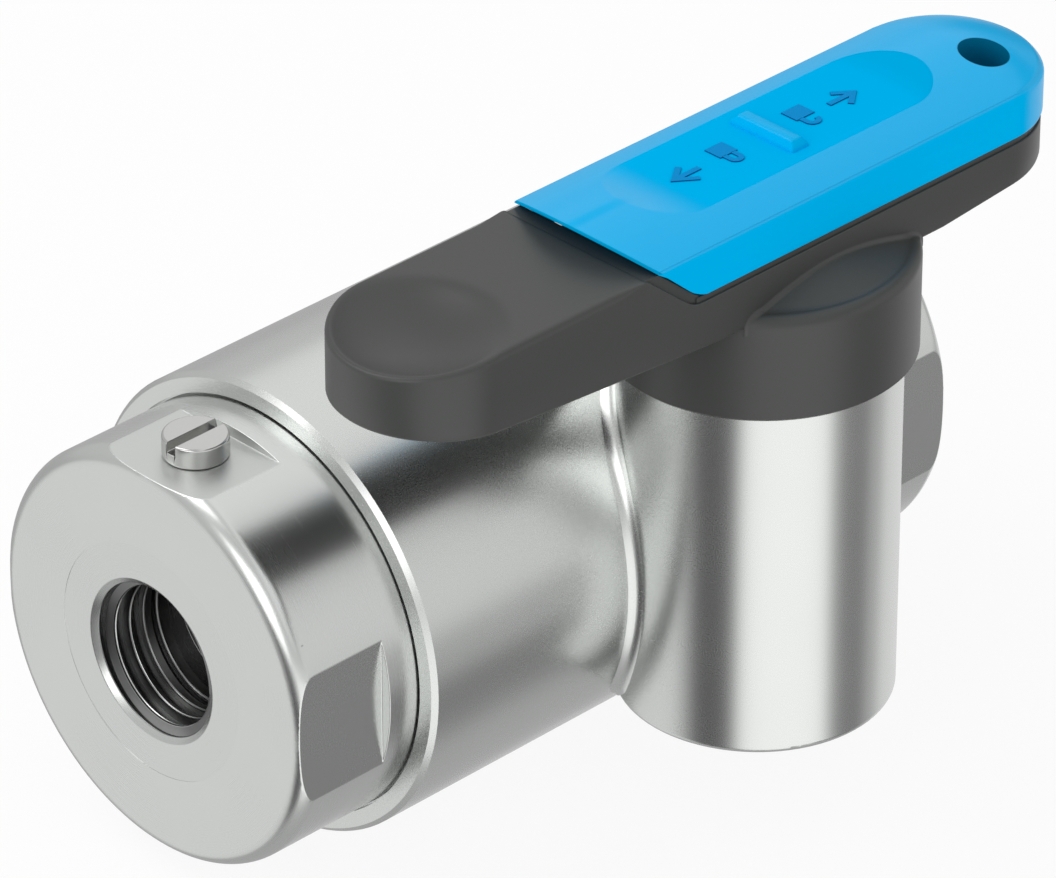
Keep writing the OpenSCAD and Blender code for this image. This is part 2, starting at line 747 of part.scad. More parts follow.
module lever_screw() {
    head_z = washer_seat + lever_washer_t;
    color(steel) at_shaft() difference() {
        union() {
            translate([0, 0, head_z]) cylinder(d = lever_screw_head_d, h = lever_screw_head_h);
            translate([0, 0, head_z - lever_screw_len])
                cylinder(d = lever_screw_d, h = lever_screw_len + eps);
        }
        translate([0, 0, head_z + lever_screw_head_h - 2.2]) cylinder(d = 4.6, h = 3, $fn = 6);
    }
}

// Detent under the slide: a spring, drawn as its envelope, and the ball it lifts
module detent_spring() {
    color(steel) at_shaft() translate([ball_x, 0, rail_top - 9]) difference() {
        cylinder(r = ball_r - 0.1, h = 10 - ball_d);
        translate([0, 0, -1]) cylinder(r = ball_r - 0.7, h = 12);
    }
}

module detent_ball() {
    color(steel) at_shaft() translate([ball_x, 0, rail_top + 1 - ball_r]) sphere(r = ball_r);
}

// The slide's outer form: an arch along the bar, domed over the short end, with a sloped end
module slide_form() {
    head_end_x = -slope_top_x + 2;
    foot_end_x = -slope_foot_x + 0.9;
    lean = (foot_end_x - head_end_x) / (slide_edge_z - slide_z);
    crown_r = (pow(slide_r, 2) + pow(crown_rise, 2)) / (crown_rise * 2);
    intersection() {
        side_view(slide_r + 1) polygon([[foot_end_x, slide_z], [short_c + slide_r + 1, slide_z],
            [short_c + slide_r + 1, slide_top + 1],
            [head_end_x - lean * (slide_top + 1 - slide_edge_z), slide_top + 1]]);
        translate([short_c, 0, slide_top - crown_r]) {
            rotate([0, -90, 0]) cylinder(r = crown_r, h = far);
            rotate([0, -90, 0]) sphere(r = crown_r);
        }
        linear_extrude(far) bar_plan(slide_r, -slope_top_x, short_c);
    }
}

// Room under the slide's sloped end, into which the lever's pad passes when the slide locks
module pad_room() {
    side_view(pad_half + face_fit * 2) polygon([[-slope_top_x - 1, slide_z - 3],
        [-slope_top_x - 1, pad_z + visor_fit],
        [pad_x + lock_travel + pass_fit, pad_z + visor_fit],
        [pad_x + lock_travel + pass_fit + pad_lean * (pad_z - slide_z + 1), slide_z - 1],
        [pad_x + lock_travel + pass_fit + pad_lean * (pad_z - slide_z + 1), slide_z - 3]]);
}

// Finger recess: a flat floor that ramps up into both round ends
module recess() {
    floor = slide_top - recess_depth;
    rim = slide_top - recess_depth * 0.2;
    run = recess_half + recess_r;
    intersection() {
        linear_extrude(far) bar_plan(recess_r, -recess_half, recess_half);
        side_view(recess_r + 1) polygon([[-run, far], [-run, rim], [-recess_half, floor],
            [recess_half, floor], [run, rim], [run, far]]);
    }
}

module grip_rib() {
    foot = slide_top - recess_depth - eps;
    top = slide_top + 0.35;
    intersection() {
        side_view(grip_len / 2) polygon([[-grip_w / 2, foot], [grip_w / 2, foot],
            [grip_w / 2, top - 0.7], [grip_w / 2 - 0.6, top], [0.6 - grip_w / 2, top],
            [-grip_w / 2, top - 0.7]]);
        rotate([90, 0, 90]) translate([0, 0, -grip_w]) linear_extrude(grip_w * 2)
            polygon([[-grip_len / 2, foot], [grip_len / 2, foot], [grip_len / 2 - 1.2, top],
                [1.2 - grip_len / 2, top]]);
    }
}

// Locking slide: a crowned cover that runs on the lever's rail
module lock_slide() {
    neck = rail_neck + face_fit * 2;
    head = rail_head + face_fit * 2;
    cave_x0 = rail_x0 - pass_fit;
    cave_x1 = rail_x1 + lock_travel + pass_fit;
    tongue_mid = tongue_x + tongue_t / 2;
    color(blue) at_shaft() difference() {
        union() {
            difference() {
                slide_form();
                translate([recess_x, 0, 0]) recess();
            }
            translate([recess_x, 0, 0]) grip_rib();
        }
        pad_room();
        translate([cave_x0, -neck, 0]) cube([cave_x1 - cave_x0, neck * 2, slot_top]);
        translate([cave_x0, -head, lip_top])
            cube([cave_x1 - cave_x0, head * 2, slot_top - lip_top]);
        translate([tongue_x, -tongue_w / 2, slot_top - 1])
            cube([tongue_t, tongue_w, tongue_top - slot_top + 1]);
        translate([tongue_mid, far, tongue_top - 1]) rotate([90, 0, 0])
            cylinder(r = tongue_pin_r + 0.02, h = far + tongue_w - 0.5);
        for (x = [0, lock_travel])
            translate([ball_x + x, 0, rail_top + 1 - ball_r]) sphere(r = ball_r + pass_fit);
        translate([padlock_x, -padlock_y, 0]) cylinder(d = padlock_d, h = far);
    }
}

// Steel tongue that drops from the slide into the stop plate's notches
module lock_tongue() {
    color(steel) at_shaft() difference() {
        translate([tongue_x, -tongue_w / 2 + 0.02, tongue_foot])
            cube([tongue_t, tongue_w - 0.04, tongue_top - tongue_foot - 0.02]);
        translate([tongue_x + tongue_t / 2, tongue_w, tongue_top - 1]) rotate([90, 0, 0])
            cylinder(r = tongue_pin_r + 0.02, h = tongue_w * 2);
    }
}

// Cross pin that holds the tongue, put in from the side that faces the flow axis
module tongue_pin() {
    color(steel) at_shaft() translate([tongue_x + tongue_t / 2, slide_r - 0.4, tongue_top - 1])
        rotate([90, 0, 0]) cylinder(r = tongue_pin_r, h = slide_r + tongue_w - 1.2);
}

valve_body();
inlet_cap();
outlet_cap();
cap_screw();
inlet_o_ring();
outlet_o_ring();
sleeve();
inlet_support_ring();
outlet_support_ring();
anvil();
anvil_pin();
guide_bush();
guide_key();
presser();
lower_bush();
cam_shaft();
thrust_washer();
bearing_plug();
plug_o_ring();
upper_bush();
shaft_o_ring();
stop_plate();
plate_screws();
lever();
lever_washer();
lever_screw();
detent_spring();
detent_ball();
lock_slide();
lock_tongue();
tongue_pin();
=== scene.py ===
# %% [markdown]
# # A manual pinch valve
# This lesson dresses the solids of a pinch valve for a studio picture. The real valve is turned and
# ground stainless steel, with a lever moulded in dark plastic and a blue locking slide on top of it.
# Every solid of the mechanism is already there; we give each one its finish, and model again only the
# pieces whose edges and curves the eye rests on.

# %% Load the solids
import bpy
import bmesh
import math
from contextlib import contextmanager
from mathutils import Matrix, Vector


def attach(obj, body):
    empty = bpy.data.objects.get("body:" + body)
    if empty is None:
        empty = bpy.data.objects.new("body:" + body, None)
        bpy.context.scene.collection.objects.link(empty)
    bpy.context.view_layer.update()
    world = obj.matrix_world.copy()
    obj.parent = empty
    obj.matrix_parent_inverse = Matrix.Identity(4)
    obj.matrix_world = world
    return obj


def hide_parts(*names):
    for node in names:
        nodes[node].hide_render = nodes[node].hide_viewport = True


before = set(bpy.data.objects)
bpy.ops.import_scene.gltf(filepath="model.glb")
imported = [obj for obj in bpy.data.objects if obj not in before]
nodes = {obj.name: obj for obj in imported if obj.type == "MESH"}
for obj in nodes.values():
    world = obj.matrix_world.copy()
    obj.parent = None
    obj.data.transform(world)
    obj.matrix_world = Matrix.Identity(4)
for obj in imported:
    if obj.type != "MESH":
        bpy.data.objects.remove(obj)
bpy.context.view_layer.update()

# %% [markdown]
# ## The sizes that the new pieces share
# All lengths are in millimetres, and are turned into metres where a mesh is made. The lever turns about
# an upright shaft beside the flow axis, so most of what moves is easiest to describe from that shaft.

# %% Shared sizes
MM = 0.001
SHAFT_X, SHAFT_Y = 72.5, -35.4
BODY_R, BOSS_R, BOSS_BOTTOM = 31.5, 18.25, 18.9
LEVER_R, LONG_C, SHORT_C = 12.45, -57.75, 32.9
LONG_END, SHORT_END = LEVER_R - LONG_C, LEVER_R + SHORT_C
LEVER_TOP, LEDGE_Z, LIP_TOP = 58.7, 51.9, 52.72
UNDER_TIP, UNDER_HUB, UNDER_SHORT = 49.0, 45.0, 47.0
SLOPE_TOP, SLOPE_FOOT = -33.0, -24.8
SLOPE_LEAN = (SLOPE_FOOT - SLOPE_TOP) / (LEVER_TOP - LEDGE_Z)
HUB_R, HUB_FOOT, HUB_TOP, HUB_PEAK = 20.1, 31.7, 46.4, 48.9
CUP_R, CUP_ROOF = 18.5, 42.5
PAD_HALF, PAD_TOP, PAD_X, PAD_RUN = 12.0, 58.62, -30.64, 2.36
SLIDE_R, SLIDE_Z, SLIDE_EDGE, SLIDE_TOP = 12.65, 52.9, 59.1, 62.0
SLIDE_TAIL, SLIDE_FOOT, SLIDE_TRAVEL = -31.0, -23.9, 2.0
SLIDE_LEAN = (SLIDE_FOOT - SLIDE_TAIL) / (SLIDE_EDGE - SLIDE_Z)
RECESS_X, RECESS_R, RECESS_HALF, RECESS_FLOOR = 1.0, 7.6, 18.65, 61.0
HOLE_X, HOLE_Y, HOLE_R = 35.1, -4.6, 3.3
LENGTH, FLAT_AT, FLAT_LEN, PORT_R, SPOT_R = 117.0, 27.0, 14.3, 10.5, 16.3
SPOT_DEEP, SPOT_SEEN, SCREW_X, THREAD_INSET = 0.25, 0.05, 8.5, 0.62
FLOOR_Z = -BODY_R

# %% [markdown]
# ## Making a mesh from rows of points
# Most forms here are grids: rows of points, each row a closed outline or an open line, joined to the
# next row by four-sided faces. One helper makes such a grid into a piece, merges doubled points and
# turns its faces outwards, so each form below is only the rule for its rows.

# %% Mesh helpers
def link(name, data):
    piece = bpy.data.objects.new(name, data)
    bpy.context.scene.collection.objects.link(piece)
    return piece


@contextmanager
def edited(mesh):
    """The mesh open for work in BMesh, and written back at the end."""
    work = bmesh.new()
    work.from_mesh(mesh)
    yield work
    work.to_mesh(mesh)
    work.free()


def shade(mesh, sharp):
    """Smooth shading, with edges over the given angle kept sharp."""
    with edited(mesh) as work:
        for face in work.faces:
            face.smooth = True
        for edge in work.edges:
            edge.smooth = len(edge.link_faces) == 2 and edge.calc_face_angle(0.0) < math.radians(sharp)


def piece_from(name, points, faces, sharp=35.0, closed=True):
    """A piece from points in millimetres, shaded smooth up to an angle in degrees."""
    mesh = bpy.data.meshes.new(name)
    mesh.from_pydata([[c * MM for c in p] for p in points], [], faces)
    with edited(mesh) as work:
        bmesh.ops.remove_doubles(work, verts=work.verts, dist=1e-7)
        bmesh.ops.dissolve_degenerate(work, dist=1e-8, edges=work.edges)
        if closed:
            bmesh.ops.recalc_face_normals(work, faces=work.faces)
    shade(mesh, sharp)
    return link(name, mesh)


def grid(rows, cap_first=True, cap_last=True):
    """Points and faces of closed rows of equal length, each joined to the next."""
    count = len(rows[0])
    points = [p for row in rows for p in row]
    faces = []
    for r in range(len(rows) - 1):
        for i in range(count):
            j = (i + 1) % count
            faces.append([r * count + i, r * count + j, (r + 1) * count + j, (r + 1) * count + i])
    if cap_first:
        faces.append(list(range(count))[::-1])
    if cap_last:
        faces.append([(len(rows) - 1) * count + i for i in range(count)])
    return points, faces


def from_shaft(points):
    return [(x + SHAFT_X, y + SHAFT_Y, z) for x, y, z in points]


def on_lever(name, rows, sharp=35.0, cap_first=True, cap_last=True):
    """A piece whose rows are measured from the shaft."""
    points, faces = grid(rows, cap_first, cap_last)
    return piece_from(name, from_shaft(points), faces, sharp)


def lifted(ring, height):
    """A flat ring at a height, which is a number or a rule of X and Y."""
    return [(x, y, height(x, y) if callable(height) else height) for x, y in ring]


def spread(a, b, steps):
    return [a + (b - a) * i / steps for i in range(steps + 1)]


def arc(cx, cy, r, a0, a1, steps):
    """Points of an arc, its angles in degrees."""
    return [(cx + r * math.cos(math.radians(a)), cy + r * math.sin(math.radians(a)))
            for a in spread(a0, a1, steps)]


def rolled(centre, a, b, radius, steps):
    """Points on a ball, along the shortest way from its direction a to its direction b."""
    angle, out = a.angle(b), []
    for i in range(steps + 1):
        t = i / steps
        way = (a * math.sin((1 - t) * angle) + b * math.sin(t * angle)) / math.sin(angle)
        out.append(centre + way * radius)
    return out


def turned(name, profile, segments, centre=(SHAFT_X, SHAFT_Y)):
    """A piece turned about an upright axis, from (radius, height) pairs that run round its section."""
    rows = [lifted(arc(*centre, radius, 0.0, 360.0, segments)[:-1], z)
            for radius, z in profile + profile[:1]]
    return piece_from(name, *grid(rows, False, False))


def soft_min(a, b, k):
    """The smaller of two heights, with the crease between them rounded over k."""
    h = max(0.0, min(1.0, 0.5 + (b - a) / (2 * k)))
    return b + (a - b) * h - k * h * (1 - h)


def settle(piece, step):
    """Makes what a modifier shows the piece's own plain mesh, and takes the modifier off."""
    graph = bpy.context.evaluated_depsgraph_get()
    mesh = bpy.data.meshes.new_from_object(piece.evaluated_get(graph))
    piece.modifiers.remove(step)
    old, piece.data = piece.data, mesh
    bpy.data.meshes.remove(old)


def cut(piece, tool):
    """Takes the tool's form out of the piece, and removes the tool."""
    step = piece.modifiers.new("cut", "BOOLEAN")
    step.operation, step.solver, step.object = "DIFFERENCE", "EXACT", tool
    settle(piece, step)
    bpy.data.objects.remove(tool)


# %% [markdown]
# ## Shader maths as Python
# A material here is written as an expression. One small class wraps an output socket, so that
# `1 - mask` or `0.3 + 0.1 * noise` adds the Math nodes for us, and one method adds any other node.

# %% Shader helpers
class Value:
    """An output socket of a node tree, with a shader's arithmetic."""

    def __init__(self, wiring, socket):
        self.wiring, self.socket = wiring, socket

    def maths(self, operation, *others):
        return self.wiring.node("ShaderNodeMath", {"operation": operation},
                                dict(enumerate((self,) + others)))

    def __add__(self, other):
        return self.maths("ADD", other)

    def __sub__(self, other):
        return self.maths("SUBTRACT", other)

    def __rsub__(self, other):
        return self.wiring.node("ShaderNodeMath", {"operation": "SUBTRACT"}, {0: other, 1: self})

    def __mul__(self, other):
        return self.maths("MULTIPLY", other)

    __radd__, __rmul__ = __add__, __mul__


def distance(u, v):
    """How far a place is from the point where u and v are 0."""
    return (u * u + v * v).maths("SQRT")


class Wiring:
    """A node tree, of a shader or of Geometry Nodes, to which nodes are added."""

    def __init__(self, tree):
        self.tree = tree

    def node(self, kind, settings=None, inputs=None, out=0):
        """Adds a node: its settings first, then the values or links of its sockets."""
        made = self.tree.nodes.new(kind)
        for key, value in (settings or {}).items():
            setattr(made, key, value)
        for key, value in (inputs or {}).items():
            if isinstance(value, Value):
                self.tree.links.new(value.socket, made.inputs[key])
            else:
                made.inputs[key].default_value = value
        return Value(self, made.outputs[out])

    def parts(self, vector):
        """The X, Y and Z of a vector."""
        made = self.node("ShaderNodeSeparateXYZ", {}, {0: vector}).socket.node
        return [Value(self, socket) for socket in made.outputs]

    def mix(self, factor, first, second):
        """The first colour where the factor is 0, and the second where it is 1."""
        return self.node("ShaderNodeMix", {"data_type": "RGBA"}, {0: factor, 6: first, 7: second}, out=2)

    def ease(self, value, low, high):
        """0 below low, 1 above high and an even curve between."""
        return self.node("ShaderNodeMapRange", {"interpolation_type": "SMOOTHSTEP"},
                         {0: value, 1: low, 2: high, 3: 0.0, 4: 1.0})


class Finish(Wiring):
    """A material around one Principled shader."""

    def __init__(self, name, **constants):
        self.material = bpy.data.materials.new(name)
        self.material.use_nodes = True
        super().__init__(self.material.node_tree)
        self.shader = self.tree.nodes["Principled BSDF"]
        for socket, value in constants.items():
            self.shader.inputs[socket.replace("_", " ")].default_value = value

    def place(self, scale=(1, 1, 1)):
        """Object coordinates in millimetres. A scale under 1 draws a pattern out along its axis."""
        coords = self.node("ShaderNodeTexCoord", out="Object")
        return self.node("ShaderNodeMapping", {}, {"Vector": coords, "Scale": [s / MM for s in scale]})

    def spot(self):
        """The X, Y and Z of Object coordinates, in millimetres."""
        return [part * (1 / MM) for part in self.parts(self.node("ShaderNodeTexCoord", out="Object"))]

    def noise(self, where, size, detail=2.0, rough=0.5):
        """Cloudy values about 0.5, with blobs of the given size in millimetres."""
        return self.node("ShaderNodeTexNoise", {}, {"Vector": where, "Scale": 1.0 / size,
                                                    "Detail": detail, "Roughness": rough})

    def feed(self, socket, value):
        self.tree.links.new(value.socket, self.shader.inputs[socket])

    def bump(self, height, depth):
        """A relief of the given depth in millimetres."""
        self.feed("Normal", self.node("ShaderNodeBump", {}, {"Height": height, "Strength": 1.0,
                                                             "Distance": depth * MM}))


def colour(red, green, blue):
    """The linear colour of an 8-bit screen colour."""
    def linear(c):
        c /= 255.0
        return c / 12.92 if c <= 0.04045 else ((c + 0.055) / 1.055) ** 2.4
    return (linear(red), linear(green), linear(blue), 1.0)


def darker(tone, share):
    """A colour brought down to a share of its light."""
    return tuple(c * share for c in tone[:3]) + (1.0,)


# %% [markdown]
# ## Satin stainless steel
# The body and the caps are turned on a lathe and then finished to a fine satin. Up close such a
# surface has very fine lines round its axis, which blur a reflection, and faint clouds where the
# finish is a little rougher. The lines are a noise that is stretched round the axis: it is read from
# the distance to the axis and the place along it, and not from the angle.

# %% Steel finishes
STEEL = colour(220, 222, 220)
# Painted shade: a dark steel tone that stands in for the shade inside the ports, on their walls and
# threads.
PORT_SHADE_STEEL = darker(STEEL, 0.28)


def satin(finish, where, size):
    """The two noises of a satin finish: its fine lines, and wide clouds."""
    lines = finish.noise(where, size, detail=3.0, rough=0.6)
    return lines, finish.noise(finish.place(), 14.0, detail=3.0)


def steel(name, tone, rough, line_size=0.12, depth=0.0012, swing=0.06, centre=None):
    """Satin metal. Its lines run round the upright axis at the centre, where one is given."""
    finish = Finish(name, Metallic=1.0, IOR=2.5)
    if centre is None:
        where = finish.place()
    else:
        x, y, z = finish.spot()
        across = distance(x - centre[0], y - centre[1])
        where = finish.node("ShaderNodeCombineXYZ", {}, {0: across, 1: z})
    lines, clouds = satin(finish, where, line_size)
    finish.feed("Base Color", finish.mix(clouds * 0.7 + lines * 0.3, darker(tone, 0.93), tone))
    finish.feed("Roughness", rough - swing / 2 + swing * (0.6 * lines + 0.4 * clouds))
    finish.bump(lines, depth)
    return finish.material


def cap_finish():
    """Turned satin steel, rougher on the upper flat, with painted shade on the port's wall and toned in its
    spot face.
    """
    finish = Finish("cap_satin_steel", Metallic=1.0, IOR=2.5)
    x, y, z = finish.spot()
    across, end = distance(y, z), x.maths("MINIMUM", LENGTH - x)
    flat = finish.ease(z, FLAT_AT - 0.06, FLAT_AT - 0.02)
    flat = flat * (1 - finish.ease(end, FLAT_LEN, FLAT_LEN + 0.04))
    # Painted shade: the port's wall is coloured dark, as the shade inside the port.
    port = 1 - finish.ease(across, PORT_R + 0.02, PORT_R + 0.12)
    middle = (1 - finish.ease(across, SPOT_R - 0.1, SPOT_R)) * (1 - finish.ease(end, 0.3, 0.4))
    lines, clouds = satin(finish, finish.node("ShaderNodeCombineXYZ", {}, {0: across, 1: x}), 0.12)
    skin = finish.mix(clouds * 0.6 + lines * 0.2 + middle * 0.2, STEEL, darker(STEEL, 0.93))
    finish.feed("Base Color", finish.mix(port, skin, PORT_SHADE_STEEL))
    finish.feed("Roughness", 0.24 + 0.03 * lines + 0.03 * clouds + 0.16 * flat)
    finish.bump(lines, 0.0004)
    return finish.material


cap_steel = cap_finish()
body_steel = steel("body_satin_steel", STEEL, 0.27, 0.16, 0.0003)
screw_steel = steel("screw_steel", colour(206, 206, 204), 0.22, centre=(SCREW_X, 0.0))
inner_steel = steel("machined_steel", colour(190, 192, 194), 0.33, 0.2)
print("steel finishes made")

# %% [markdown]
# ## Moulded plastics, rubber and bronze
# The lever and the slide are injection moulded in a mould with a fine eroded grain. The grain is too
# fine to see as relief at arm's length, but it spreads each highlight, so it goes into the relief at
# its true size, a few tenths of a millimetre, and only slightly into the roughness.

# %% Plastic, rubber and bronze finishes
def moulded(name, tone, rough, grain=0.35, depth=0.008, tint=0.92, specular=0.5):
    """Plastic or rubber, with the mould's grain in its relief and faint streaks where it flowed."""
    finish = Finish(name, Specular_IOR_Level=specular)
    pores = finish.noise(finish.place(), grain, rough=0.55)
    flow = finish.noise(finish.place((0.35, 1, 1)), 9.0)
    finish.feed("Base Color", finish.mix(flow * 0.75 + pores * 0.25, darker(tone, tint), tone))
    finish.feed("Roughness", rough - 0.05 + 0.06 * pores + 0.04 * flow)
    finish.bump(pores, depth)
    return finish.material


lever_plastic = moulded("lever_dark_plastic", colour(64, 66, 64), 0.40)
SLIDE_BLUE = colour(0, 187, 250)


def slide_finish():
    """Blue plastic, matt on the sides and in the recess, polished on the crown, and with painted shade on
    the crown, the hole's wall, the sloped end and the ramp to the short end.
    """
    finish = Finish("slide_blue_plastic", Roughness=0.5, Specular_IOR_Level=0.0, Coat_Roughness=0.22)
    x, y, z = finish.spot()
    along, across = x - (SHAFT_X + RECESS_X), y - SHAFT_Y

    # Where the finger recess is, its ramp towards the long arm, and its ramp towards the short end.
    past = (along.maths("ABSOLUTE") - RECESS_HALF).maths("MAXIMUM", 0.0)
    inside = 1 - finish.ease(distance(past, across), RECESS_R - 0.08, RECESS_R + 0.02)
    ramp = 1 - finish.ease(along, -RECESS_HALF - 6.5, -RECESS_HALF + 1.0)
    right = inside * finish.ease(along, RECESS_HALF - 2.0, RECESS_HALF + 5.0)

    # The crown, the dull streak along its tail, the top of the rib, the sloped end and the short end.
    crown = finish.ease(z, SLIDE_EDGE - 0.25, SLIDE_EDGE - 0.05)
    dull = 1 - finish.ease((across + 0.2).maths("ABSOLUTE"), 0.2, 1.4)
    dull = dull * (1 - finish.ease(along, SLIDE_TAIL + 2.0, SLIDE_TAIL + 8.0))
    rib = finish.ease(z, SLIDE_TOP + 0.05, SLIDE_TOP + 0.2)
    end = 1 - finish.ease(x - SHAFT_X - SLIDE_FOOT + (z - SLIDE_Z) * SLIDE_LEAN, 0.16, 0.3)
    tip = finish.ease(along, SHORT_C + 6.0, SHORT_C + 12.0)

    polish = (crown + finish.ease(along, SHORT_C, SHORT_C + 2.0)).maths("MINIMUM", 1.0)
    polish = polish * (1 - inside * (1 - 1.3 * ramp)) * (1 - 0.6 * dull) * (1 + 0.6 * tip) + 0.5 * rib
    flow = finish.noise(finish.place((0.12, 1, 1)), 1.6)
    # Painted shade: the hole's wall, the band along the sloped end and the ramp towards the short end are
    # darkened.
    wall = distance(x - (SHAFT_X + HOLE_X), y - (SHAFT_Y + HOLE_Y))
    wall = 1 - finish.ease(wall, HOLE_R + 0.02, HOLE_R + 0.12)
    # Painted shade: the crown is coloured a shade darker than the matt sides.
    skin = finish.mix(crown * (0.97 + 0.06 * flow), SLIDE_BLUE, darker(SLIDE_BLUE, 0.89))
    painted_shade = wall.maths("MAXIMUM", end * crown * 0.55).maths("MAXIMUM", right * 0.18)
    finish.feed("Base Color", finish.mix(painted_shade, skin, darker(SLIDE_BLUE, 0.35)))
    finish.feed("Coat Weight", polish * (1 - end) * (0.56 + 0.12 * flow))
    finish.bump(finish.noise(finish.place(), 0.35), 0.004)
    return finish.material


slide_plastic = slide_finish()
sign_face = moulded("sign_blue_print", colour(0, 140, 208), 0.5, tint=0.97, specular=0.03)
# Painted shade: the signs' walls are coloured darker than their faces.
sign_wall_shade = moulded("sign_deep_blue", colour(0, 84, 140), 0.5, tint=0.95, specular=0.03)
seal_rubber = moulded("seal_black_rubber", colour(30, 30, 31), 0.6, 0.5, 0.012)
sleeve_rubber = moulded("sleeve_natural_rubber", colour(196, 184, 158), 0.55, 0.8, 0.02)
bush_bronze = steel("bush_sintered_bronze", colour(176, 138, 84), 0.4, 0.3, 0.004, 0.12)
print("plastic, rubber and bronze finishes made")

# %% [markdown]
# ## Giving each solid its finish
# A solid whose form is right keeps its mesh and only gets a better material. The table below says
# which finish each one has, as a parts list would.

# %% Finish for every solid
FINISHES = (
    (body_steel, "valve_body"), (cap_steel, "inlet_cap outlet_cap"), (screw_steel, "cap_screw"),
    (inner_steel, "bearing_plug stop_plate plate_screws presser cam_shaft anvil anvil_pin guide_key"),
    (inner_steel, "inlet_support_ring outlet_support_ring lever_washer lever_screw detent_ball"),
    (inner_steel, "detent_spring lock_tongue tongue_pin"),
    (bush_bronze, "guide_bush lower_bush upper_bush thrust_washer"),
    (seal_rubber, "inlet_o_ring outlet_o_ring plug_o_ring shaft_o_ring"),
    (sleeve_rubber, "sleeve"), (lever_plastic, "lever"), (slide_plastic, "lock_slide"),
)


def paint(piece, material):
    piece.data.materials.clear()
    piece.data.materials.append(material)


for material, names in FINISHES:
    for name in names.split():
        paint(nodes[name], material)
print("solids with a finish:", sum(len(names.split()) for _, names in FINISHES), "of", len(nodes))


def fit_out(piece, body, slot, material, *stands_for):
    """Gives a finished piece its body, and its material unless it has one. The slot is not used."""
    if material is not None:
        paint(piece, material)
    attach(piece, body)
    if stands_for:
        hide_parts(*stands_for)
    print(f"{piece.name}: {len(piece.data.polygons)} faces")


# %% [markdown]
# ## The pipe thread
# Each port has a parallel pipe thread. A thread follows a path, a helix, so Geometry Nodes make it: a
# spiral curve carries the section of one ridge, and the ridge stands inwards from the port's wall. The
# spiral climbs clockwise, so the ridge is mirrored to be right-handed, and grows out of the wall over
# its first third of a turn, as where a tap first cuts.

# %% Geometry Nodes helper
class Tree(Wiring):
    """A Geometry Nodes tree with named inputs."""

    def __init__(self, name, **sizes):
        super().__init__(bpy.data.node_groups.new(name, "GeometryNodeTree"))
        sockets = self.tree.interface
        sockets.new_socket("Geometry", in_out="OUTPUT", socket_type="NodeSocketGeometry")
        self.sizes = {}
        for key, value in sizes.items():
            made = sockets.new_socket(key, in_out="INPUT", socket_type="NodeSocketFloat")
            self.sizes[made.identifier] = value
        self.inside = self.tree.nodes.new("NodeGroupInput")
        self.outside = self.tree.nodes.new("NodeGroupOutput")

    def size(self, key):
        """One of the tree's named inputs."""
        return Value(self, self.inside.outputs[key])

    def bake(self, name, geometry, material):
        """Runs the tree on an empty mesh and returns the result as a plain piece."""
        solid = self.node("GeometryNodeRealizeInstances", {}, {"Geometry": geometry})
        painted = self.node("GeometryNodeSetMaterial", {}, {"Geometry": solid, "Material": material})
        self.tree.links.new(painted.socket, self.outside.inputs[0])
        piece = link(name, bpy.data.meshes.new(name))
        step = piece.modifiers.new("tree", "NODES")
        step.node_group = self.tree
        for identifier, value in self.sizes.items():
            step[identifier] = value
        settle(piece, step)
        return piece


# %% Thread ridges
def thread(name, face_x, inwards):
    """The ridges of a port's thread. inwards is +1 where the port runs along +X."""
    wall, pitch, turns = PORT_R + 0.02, 2.8, 4.4
    start, fade, clear = math.radians(104.0), 0.35, 0.1
    tree = Tree(name + "_tree", Radius=wall * MM, Length=pitch * turns * MM, Turns=turns)
    path = tree.node("GeometryNodeCurveSpiral", {}, {
        "Resolution": 96, "Rotations": tree.size("Turns"), "Start Radius": tree.size("Radius"),
        "End Radius": tree.size("Radius"), "Height": tree.size("Length")})
    section = [(0.0, -0.95), (0.98, -0.32), (1.16, -0.2), (1.1, -0.08), (1.1, 0.08), (1.16, 0.2),
               (0.98, 0.32), (0.0, 0.95)]
    outline = bpy.data.curves.new(name + "_section", "CURVE")
    line = outline.splines.new("POLY")
    line.points.add(len(section) - 1)
    for point, (depth, along) in zip(line.points, section):
        point.co = (depth * MM, along * MM, 0.0, 1.0)
    line.use_cyclic_u = True
    holder = link(name + "_section", outline)
    profile = tree.node("GeometryNodeObjectInfo", {}, {"Object": holder}, out="Geometry")
    ridge = tree.node("GeometryNodeCurveToMesh", {}, {"Curve": path, "Profile Curve": profile,
                                                      "Fill Caps": True})
    piece = tree.bake(name, ridge, thread_steel)
    bpy.data.objects.remove(holder)
    sine, cosine = math.sin(start), math.cos(start)
    for v in piece.data.vertices:
        x, y, z = v.co.x, -v.co.y, v.co.z
        turned_by = math.atan2(y, x) / (2 * math.pi)
        turned_by += round(z / MM / pitch - turned_by)
        grown = max(0.02, min(1.0, turned_by / fade))
        keep = (wall * MM * (1 - grown) + math.hypot(x, y) * grown) / math.hypot(x, y)
        x, y = x * keep, y * keep
        v.co = (face_x * MM + inwards * max(z, clear * MM), x * cosine - y * sine,
                (x * sine + y * cosine) * inwards)
    with edited(piece.data) as work:
        bmesh.ops.recalc_face_normals(work, faces=work.faces)
    shade(piece.data, 30.0)
    return piece


